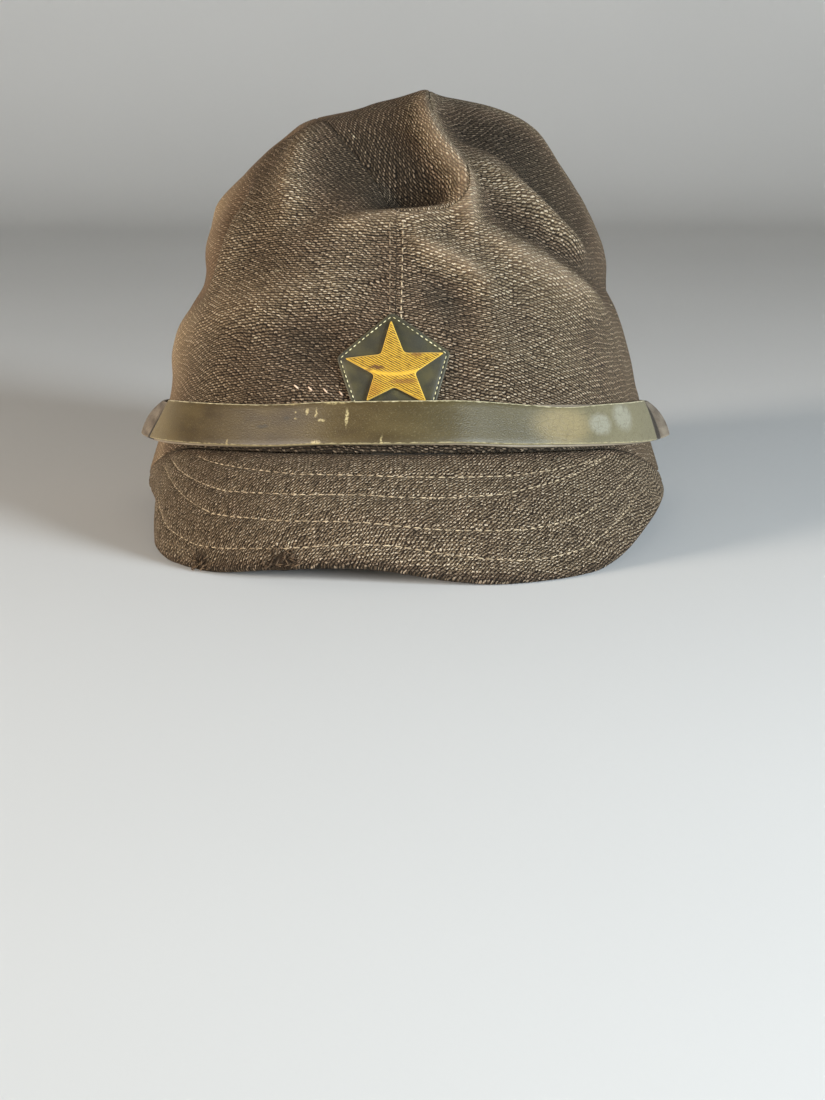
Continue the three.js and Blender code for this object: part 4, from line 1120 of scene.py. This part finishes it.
def strap_material():
    """Olive paint over leather: bare edges, nicks, scratches, fine cracks and grey worn rings."""
    nodes = Nodes("strap_olive")
    place = nodes.map("Place")
    along, up = nodes.parts(place)
    rough_place = nodes.stirred(place, 0.7, 1.3)
    blotch = nodes.noise(nodes.vector("MULTIPLY", place, (0.06, 0.16, 1)), 1.0, 3.0)
    colour = nodes.mix(nodes.spread(blotch, 0.3, 0.7), srgb(54, 41, 16), srgb(68, 54, 22))
    colour = nodes.mix(nodes.spread(along, 4, 38, 0.65, 0.0), colour, srgb(120, 106, 76))
    colour = nodes.mix(nodes.spread(along, 95, 140, 0.0, 0.6), colour, srgb(62, 55, 22))
    colour = nodes.mix(nodes.spread(along, 140, 200, 0.0, 0.6), colour, srgb(118, 111, 88))
    tan = nodes.math("MULTIPLY", nodes.spot(rough_place, (166, 6), (15, 9)), 0.4)
    colour = nodes.mix(tan, colour, srgb(146, 126, 84))
    for along_middle, up_middle, long, high in WORN_RINGS.values():
        worn = nodes.spot(rough_place, (along_middle, up_middle), (long, high))
        rim = nodes.math("MULTIPLY", worn, nodes.math("SUBTRACT", 1.0, worn))
        colour = nodes.mix(nodes.spread(worn, 0.05, 0.6, 0.0, 0.2), colour, srgb(178, 177, 164))
        colour = nodes.mix(nodes.spread(rim, 0.15, 0.25, 0.0, 0.4), colour, srgb(92, 83, 60))
    cells = nodes.add("ShaderNodeTexVoronoi", {"Vector": rough_place, "Scale": 0.4}, feature="DISTANCE_TO_EDGE")
    cracked = nodes.spread(along, 120, 160, 0.15, 0.55)
    crack = nodes.math("MULTIPLY", nodes.spread(cells.outputs["Distance"], 0.0, 0.05, 1.0, 0.0), cracked)
    colour = nodes.mix(nodes.math("MULTIPLY", crack, 0.7), colour, srgb(66, 54, 32))
    pits = nodes.noise(place, 1.6, 5.0)
    colour = nodes.mix(nodes.spread(pits, 0.52, 0.72, 0.0, 0.3), colour, srgb(52, 45, 28))
    colour = nodes.mix(nodes.spread(pits, 0.44, 0.3, 0.0, 0.14), colour, srgb(150, 140, 108))
    ragged = nodes.math("MULTIPLY", nodes.math("SUBTRACT", nodes.noise(place, 0.5, 4.0), 0.5), 0.9)
    from_top = nodes.math("ADD", nodes.math("SUBTRACT", STRAP_WIDTH, up), ragged)
    from_foot = nodes.math("ADD", up, ragged)
    colour = nodes.mix(nodes.spread(from_top, 0.2, 0.5, 0.8, 0.0), colour, srgb(196, 184, 148))
    colour = nodes.mix(nodes.spread(from_foot, 0.05, 0.3, 0.55, 0.0), colour, srgb(182, 168, 128))
    chips = nodes.spread(nodes.noise(place, 1.3, 4.0), 0.35, 0.6, 0.1, 0.75)
    for along_middle, up_middle, long, high in PALE_MARKS.values():
        mark = nodes.math("MULTIPLY", nodes.spot(rough_place, (along_middle, up_middle), (long, high)), chips)
        colour = nodes.mix(mark, colour, srgb(172, 156, 112))
    for along_middle, up_middle, long, high in DARK_MARKS.values():
        mark = nodes.spot(rough_place, (along_middle, up_middle), (long, high))
        colour = nodes.mix(nodes.math("MULTIPLY", mark, 0.7), colour, srgb(36, 31, 20))
    grain = nodes.noise(place, 2.2, 4.0)
    roughness = nodes.spread(blotch, 0.3, 0.7, 0.44, 0.52)
    height = nodes.math("SUBTRACT", grain, nodes.math("MULTIPLY", crack, 0.4))
    return nodes.surface(colour, roughness, nodes.bump(height, 0.00012), specular_ior_level=0.45)


def under_material():
    """Brown leather, rubbed along its edges, with painted shadow just past the ends of the outer strap."""
    nodes = Nodes("strap_brown")
    place = nodes.map("Place")
    up = nodes.parts(place)[1]
    blotch = nodes.noise(nodes.vector("MULTIPLY", place, (0.1, 0.3, 1)), 1.0, 4.0)
    colour = nodes.mix(nodes.spread(blotch, 0.3, 0.7), srgb(78, 66, 52), srgb(112, 100, 84))
    from_edge = nodes.math("MINIMUM", up, nodes.math("SUBTRACT", STRAP_WIDTH, up))
    colour = nodes.mix(nodes.spread(from_edge, 0.1, 0.7, 0.5, 0.0), colour, srgb(140, 126, 104))
    # Painted shadow of the outer strap's ends on the under strap
    beyond = nodes.parts(nodes.map("Edge"))[0]
    aside = nodes.math("ABSOLUTE", nodes.math("SUBTRACT", beyond, 5.0))
    colour = nodes.mix(nodes.spread(aside, 4.0, 5.8, 0.88, 0.0), colour, srgb(26, 20, 13))
    grain = nodes.noise(place, 2.0, 5.0)
    return nodes.surface(
        colour, nodes.spread(grain, 0.3, 0.7, 0.5, 0.65), nodes.bump(grain, 0.00015), specular_ior_level=0.4
    )


CREASE_HEIGHT = -0.6
CREASE_CURVE = 0.02


def star_material():
    """Golden twill with smooth edges, stained, and creased across its middle."""
    nodes = Nodes("star_gold")
    place = nodes.map("Place")
    side, up = nodes.parts(place)
    turned_place = nodes.add(
        "ShaderNodeVectorRotate", {"Vector": place, "Angle": math.radians(28)}, rotation_type="Z_AXIS"
    ).outputs[0]
    broken = nodes.noise(nodes.vector("MULTIPLY", turned_place, (0.5, 1.8, 1)), 1.0, 2.0)
    height = nodes.ribs(nodes.stirred(turned_place, 0.5, 0.2), 0.6)
    height = nodes.math("MULTIPLY", height, nodes.spread(broken, 0.3, 0.6, 0.55, 1.0))
    colour = nodes.mix(nodes.spread(height, 0.2, 0.8), srgb(54, 30, 2), srgb(177, 137, 31))
    curve = nodes.math("MULTIPLY", nodes.math("POWER", side, 2.0), CREASE_CURVE)
    above = nodes.math("SUBTRACT", nodes.math("SUBTRACT", up, CREASE_HEIGHT), curve)
    crease = nodes.spread(nodes.math("ABSOLUTE", above), 0.3, 0.75, 0.7, 0.0)
    edge = nodes.spread(nodes.parts(nodes.map("Edge"))[0], 0.92, 0.96, 0.0, 0.85)
    smooth = nodes.math("MAXIMUM", crease, edge)
    colour = nodes.mix(crease, colour, srgb(184, 144, 40))
    colour = nodes.mix(edge, colour, srgb(190, 151, 50))
    stirred = nodes.stirred(place, 1.2, 1.2)
    for middle, size, share, tone in (
        ((-4.8, 1.5), (2.9, 1.0), 0.85, srgb(70, 34, 10)),
        ((-7.4, 0.6), (1.5, 0.5), 0.6, srgb(92, 54, 12)),
        ((7.0, 5.3), (2.4, 1.2), 0.7, srgb(100, 60, 12)),
        ((3.2, -2.7), (5.4, 1.1), 0.65, srgb(104, 60, 12)),
        ((-5.6, -5.4), (3.2, 3.8), 0.4, srgb(132, 82, 18)),
    ):
        soil = nodes.math("MULTIPLY", nodes.spot(stirred, middle, size), share)
        colour = nodes.mix(soil, colour, tone)
    flat = nodes.math("MULTIPLY", height, nodes.math("SUBTRACT", 1.0, smooth))
    return nodes.surface(colour, 0.66, nodes.bump(flat, 0.0003), specular_ior_level=0.28, sheen_weight=0.1)


def patch_material():
    """Dark green felt with a raised edge, a painted highlight along it and painted shade in the groove by the
    stitches.
    """
    nodes = Nodes("patch_green")
    place = nodes.map("Place")
    share = nodes.parts(nodes.map("Edge"))[0]
    cloud = nodes.noise(place, 0.16, 3.0)
    colour = nodes.mix(nodes.spread(cloud, 0.36, 0.64), srgb(25, 22, 6), srgb(52, 46, 14))
    nap = nodes.noise(place, 4.0, 4.0)
    colour = nodes.mix(nodes.spread(nap, 0.3, 0.7, 0.0, 0.25), colour, srgb(66, 60, 28))
    # Painted highlight along the raised edge
    colour = nodes.mix(nodes.spread(share, 0.97, 0.99, 0.0, 0.5), colour, srgb(84, 78, 58))
    # Painted shade in the groove beside the row of stitches
    groove = nodes.math("ABSOLUTE", nodes.math("SUBTRACT", share, 0.95))
    colour = nodes.mix(nodes.spread(groove, 0.0, 0.02, 0.6, 0.0), colour, srgb(24, 23, 16))
    return nodes.surface(
        colour, 0.6, nodes.bump(nap, 0.00008), specular_ior_level=0.35, sheen_weight=0.1
    )


def thread_material(name, light, dark):
    nodes = Nodes(name)
    place = nodes.add("ShaderNodeTexCoord").outputs["Object"]
    tone = nodes.noise(place, 900.0, 2.0)
    colour = nodes.mix(nodes.spread(tone, 0.3, 0.7), dark, light)
    twist = nodes.noise(place, 4000.0, 2.0)
    return nodes.surface(colour, 0.8, nodes.bump(twist, 0.00005), specular_ior_level=0.2)


def button_material():
    nodes = Nodes("button_dark")
    place = nodes.add("ShaderNodeTexCoord").outputs["Object"]
    rub = nodes.noise(place, 260.0, 4.0)
    colour = nodes.mix(nodes.spread(rub, 0.45, 0.7), srgb(58, 50, 38), srgb(92, 80, 58))
    return nodes.surface(
        colour, nodes.spread(rub, 0.3, 0.7, 0.38, 0.55), nodes.bump(rub, 0.00006), metallic=0.2
    )


wool = wool_material("wool_crown", 2.9, 1.75, 0.8, 0.5)
worn = [((t, out), (size * 1.5, 0.1)) for t, out, size in WORN_SPOTS]
peak_wool = wool_material("wool_peak", 2.1, 1.3, 0.9, 1.0, worn)

left = side_panel("crown_left_cloth", -1, wool, 4)
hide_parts("crown_left")
right = side_panel("crown_right_cloth", 1, wool, -12)
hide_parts("crown_right")
top = top_panel("crown_top_cloth", wool, 68)
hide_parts("crown_top")
peak = peak_piece("peak_cloth", peak_wool, 38)
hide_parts("peak")


def outer_wave(angle, height):
    """Unevenness of the olive strap's edges, in millimetres."""
    upper = 0.35 * np.sin(np.radians(angle * 5 + 40)) - 1.0 * np.exp(-(((angle - 34) / 9) ** 2))
    lower = 0.3 * np.sin(np.radians(angle * 4 + 10))
    return np.where(height > 0, upper, lower) * np.abs(height)


def under_wave(angle, height):
    lower = -0.25 * np.exp(-(((angle - 32) / 20) ** 2)) * (height < 0)
    return (0.3 * np.sin(np.radians(angle * 3 + 60)) + lower) * np.abs(height)


strap_outer = strap_piece(
    "strap_outer_leather", OUTER_FROM, OUTER_TO, OUTER_SLANT, 240, UNDER_THICKNESS + PIECE_GAP,
    OUTER_THICKNESS, 0.5, strap_material(), outer_wave,
)
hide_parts("strap_outer")
strap_under = strap_piece(
    "strap_under_leather", -UNDER_END, UNDER_END, 0, 300, 0, UNDER_THICKNESS, 0.45, under_material(), under_wave
)
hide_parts("strap_under")

pentagon = outline(np.array([on_circle(PATCH_RADIUS, i / 5 + PATCH_TURN) for i in range(5)]), 28, 2)


def patch_push(rings):
    """Soft lumps of the patch and its raised edge, drawn in along the stitches."""
    share = BADGE_RINGS[:, None] + 0 * rings[..., 0]
    groove = np.exp(-(((share - PATCH_ROW) / 0.02) ** 2))
    soft = 0.3 * lumps(rings[..., 0], rings[..., 1], 7, 11) + 0.1 * lumps(rings[..., 0], rings[..., 1], 3, 13)
    return soft - 0.25 * groove


patch = badge_piece(
    "badge_patch_felt", pentagon, PIECE_GAP, patch_material(),
    patch_push,
)
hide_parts("badge_patch")
star_rim = outline(np.array(list(STAR_CORNERS.values())), 16, 2)


def star_push(rings):
    """Soft dome of the star with a crease across it."""
    reach = np.hypot(rings[..., 0], rings[..., 1]) / PATCH_RADIUS
    above = rings[..., 1] - CREASE_HEIGHT - CREASE_CURVE * rings[..., 0] ** 2
    crease = 0.4 * np.exp(-((above / 0.6) ** 2)) - 0.3 * np.exp(-(((above + 1.4) / 0.9) ** 2))
    return 0.35 * (1 - reach) + crease + 0.08 * lumps(rings[..., 0], rings[..., 1], 3, 12)


star = badge_piece("badge_star_cloth", star_rim, BADGE_THICKNESS + 2 * PIECE_GAP, star_material(), star_push)
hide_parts("badge_star")

pale_thread = thread_material("thread_pale", srgb(206, 198, 158), srgb(150, 140, 100))
wool_thread = thread_material("thread_wool", srgb(176, 157, 127), srgb(106, 90, 70))
dark_thread = thread_material("thread_dark", srgb(104, 84, 62), srgb(58, 45, 33))
hem_thread = thread_material("thread_hem", srgb(214, 188, 162), srgb(150, 122, 98))
# Darker copy of the wool thread: painted shade for the stitches of the left seam
shaded_thread = thread_material("thread_shaded", srgb(148, 128, 102), srgb(84, 69, 53))

edge_stitches = stitch_piece(
    "badge_stitches", [badge_run(pentagon * PATCH_ROW, BADGE_THICKNESS + PIECE_GAP - 0.1, 1.68, 1)], 1.0, 0.17,
    pale_thread,
)
peak_stitches = stitch_piece(
    "peak_stitches", [peak_run(row, 3.0, k) for k, row in enumerate(PEAK_ROWS.values())], 2.2, 0.22, wool_thread, 0.1
)
SEAM_STITCH_SIDE = 1.3
seam_runs = []
for number, side in enumerate((-1, 1)):
    for start, stop in ((-SEAM_FROM, -0.82), (SEAM_FROM, 0.97)):
        seam_runs.append(crown_run(
            lambda s, side=side: side * SEAM_STITCH_SIDE / 90 + 0 * s,
            lambda s, start=start, stop=stop: start + (stop - start) * s,
            2.6, 10 + number,
        ))
left_stitches = stitch_piece("seam_stitches_left", seam_runs[:2], 1.7, 0.2, shaded_thread, 0.1)
right_stitches = stitch_piece("seam_stitches_right", seam_runs[2:], 1.7, 0.25, wool_thread, 0.1)
HEM_STITCHES = {"across": np.array([-43.0, -36.7, -30.0, -23.2]), "along": np.array([-119.6, -122.2, -124.5, -126.7])}
HEM_SLOPE = (2.0, -1.9)


def hem_run():
    """The few stitches of the rim's hem that show above the strap, each sloping down to the right."""
    across, along = HEM_STITCHES["across"] / PATTERN, HEM_STITCHES["along"] / PATTERN
    flat = 0 * across
    places = crown_at(across, along, flat)
    ahead = unit(crown_at(across + HEM_SLOPE[0] / PATTERN, along + HEM_SLOPE[1] / PATTERN, flat) - places)
    normals = crown_normal(across, along)
    return places, unit(normals - ahead * (normals * ahead).sum(-1, keepdims=True)), ahead


hem_stitches = stitch_piece("hem_stitches", [hem_run()], 2.1, 0.3, hem_thread, 0.0)


FRAYS = 34


def fray_run(spot, seed):
    """Loose fibres of a worn spot, lying every way."""
    middle, height, size = spot
    number = np.arange(FRAYS)
    t = middle + 1.5 * size * (scatter(number, seed) * 2 - 1)
    out = np.minimum(height + 0.09 * (scatter(number, seed, 2) * 2 - 1), 0.995)
    place, normal = peak_frame(t, out)
    turn = 2 * math.pi * scatter(number, seed, 4)
    first = unit(np.cross(normal, [0, 0, 1]))
    ahead = np.cos(turn)[:, None] * first + np.sin(turn)[:, None] * np.cross(normal, first)
    return place + normal * (0.9 * scatter(number, seed, 6) - 0.6)[:, None], normal, ahead


peak_frays = stitch_piece(
    "peak_frays", [fray_run(spot, 20 + k) for k, spot in enumerate(WORN_SPOTS)], 2.4, 0.15, dark_thread, -1.2
)

for side, node in ((-1, "button_left"), (1, "button_right")):
    angle = np.array(side * BUTTON_ANGLE)
    seat = strap_at(angle, np.array(0.0), np.array(UNDER_THICKNESS + PIECE_GAP))
    axis = unit(seat - strap_at(angle, np.array(0.0), np.array(0.0)))
    first = unit(np.cross(axis, [0, 0, 1]))
    second = np.cross(axis, first)
    turns = 2 * math.pi * np.arange(40) / 40
    ring = np.cos(turns)[:, None] * first + np.sin(turns)[:, None] * second
    rings = [
        seat + axis * height * BUTTON_HEIGHT + ring * max(radius, 0.01) * BUTTON_RADIUS
        for radius, height in BUTTON_PROFILE
    ]
    places, faces = tube(np.array(rings))
    button = make_piece(f"{node}_dome", places, outward_faces(places - seat, faces), button_material(), weld=False)
    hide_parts(node)


def floor_material():
    nodes = Nodes("floor_pale")
    place = nodes.add("ShaderNodeTexCoord").outputs["Object"]
    tone = nodes.noise(place, 2.0, 2.0)
    colour = nodes.mix(nodes.spread(tone, 0.3, 0.7), srgb(214, 212, 207), srgb(219, 217, 212))
    return nodes.surface(colour, 0.8, nodes.bump(tone, 0.0), specular_ior_level=0.2)


def make_floor():
    """Pale floor that sweeps up behind the cap."""
    profile = [(-2.5, 0.0)]
    for turn in np.linspace(0, math.pi / 2, 13):
        profile.append((1.2 + 0.8 * math.sin(turn), 0.8 - 0.8 * math.cos(turn)))
    profile.append((2.0, 3.0))
    places = [(x, y, z - 0.0003) for y, z in profile for x in (-3.0, 3.0)]
    faces = [(2 * i, 2 * i + 1, 2 * i + 3, 2 * i + 2) for i in range(len(profile) - 1)]
    mesh = bpy.data.meshes.new("floor")
    mesh.from_pydata(places, [], faces)
    mesh.polygons.foreach_set("use_smooth", np.ones(len(mesh.polygons), bool))
    mesh.materials.append(floor_material())
    floor = bpy.data.objects.new("floor", mesh)
    bpy.context.scene.collection.objects.link(floor)


def turn_world(direction):
    c, s = math.cos(REST_TILT), math.sin(REST_TILT)
    x, y, z = direction
    return np.array([x, y * c + z * s, z * c - y * s])


def make_camera():
    """Camera where the photograph was taken from."""
    a, e = CAMERA_TURN, CAMERA_RISE
    back = np.array([math.sin(a) * math.cos(e), -math.cos(a) * math.cos(e), math.sin(e)])
    right_way = np.array([math.cos(a), math.sin(a), 0])
    up = np.cross(right_way, -back)
    swing = math.atan((CAP_MIDDLE_PIXEL[0] - IMAGE[0] / 2) / CAMERA_FOCUS)
    nod = math.atan((IMAGE[1] / 2 - CAP_MIDDLE_PIXEL[1]) / CAMERA_FOCUS)
    ahead = -back * math.cos(nod) - up * math.sin(nod)
    up_now = up * math.cos(nod) - back * math.sin(nod)
    ahead_now = ahead * math.cos(swing) - right_way * math.sin(swing)
    right_now = right_way * math.cos(swing) + ahead * math.sin(swing)
    data = bpy.data.cameras.new("camera")
    data.sensor_fit = "VERTICAL"
    data.sensor_height = SENSOR
    data.lens = CAMERA_FOCUS / IMAGE[1] * SENSOR
    data.clip_start = 0.01
    camera = bpy.data.objects.new("camera", data)
    bpy.context.scene.collection.objects.link(camera)
    axes = Matrix([turn_world(v) for v in (right_now, up_now, -ahead_now)]).transposed().to_4x4()
    axes.translation = to_world(back * CAMERA_DISTANCE)
    camera.matrix_world = axes
    bpy.context.scene.camera = camera


def add_light(name, place, aim, size, power, colour):
    data = bpy.data.lights.new(name, "AREA")
    data.shape = "DISK"
    data.size = size
    data.energy = power
    data.color = colour
    light = bpy.data.objects.new(name, data)
    bpy.context.scene.collection.objects.link(light)
    ahead = unit(np.array(aim) - np.array(place))
    right_way = unit(np.cross(ahead, [0, 0, 1]))
    axes = Matrix([right_way, np.cross(right_way, ahead), -ahead]).transposed().to_4x4()
    axes.translation = place
    light.matrix_world = axes


make_floor()
make_camera()
AIM = (0, 0, 0.06)
add_light("left", (-1.25, -0.78, 0.25), AIM, 0.5, 36, (1.0, 0.925, 0.845))
add_light("right", (1.05, -0.92, 0.25), AIM, 0.5, 46.5, (0.86, 0.98, 1.1))
add_light("front", (-0.2, -1.8, 0.5), AIM, 0.5, 3, (1.0, 0.96, 0.9))
world = bpy.data.worlds.new("studio")
world.use_nodes = True
world.node_tree.nodes["Background"].inputs["Color"].default_value = (1, 1, 1, 1)
world.node_tree.nodes["Background"].inputs["Strength"].default_value = 0.08
bpy.context.scene.world = world
bpy.context.scene.view_settings.view_transform = "Standard"
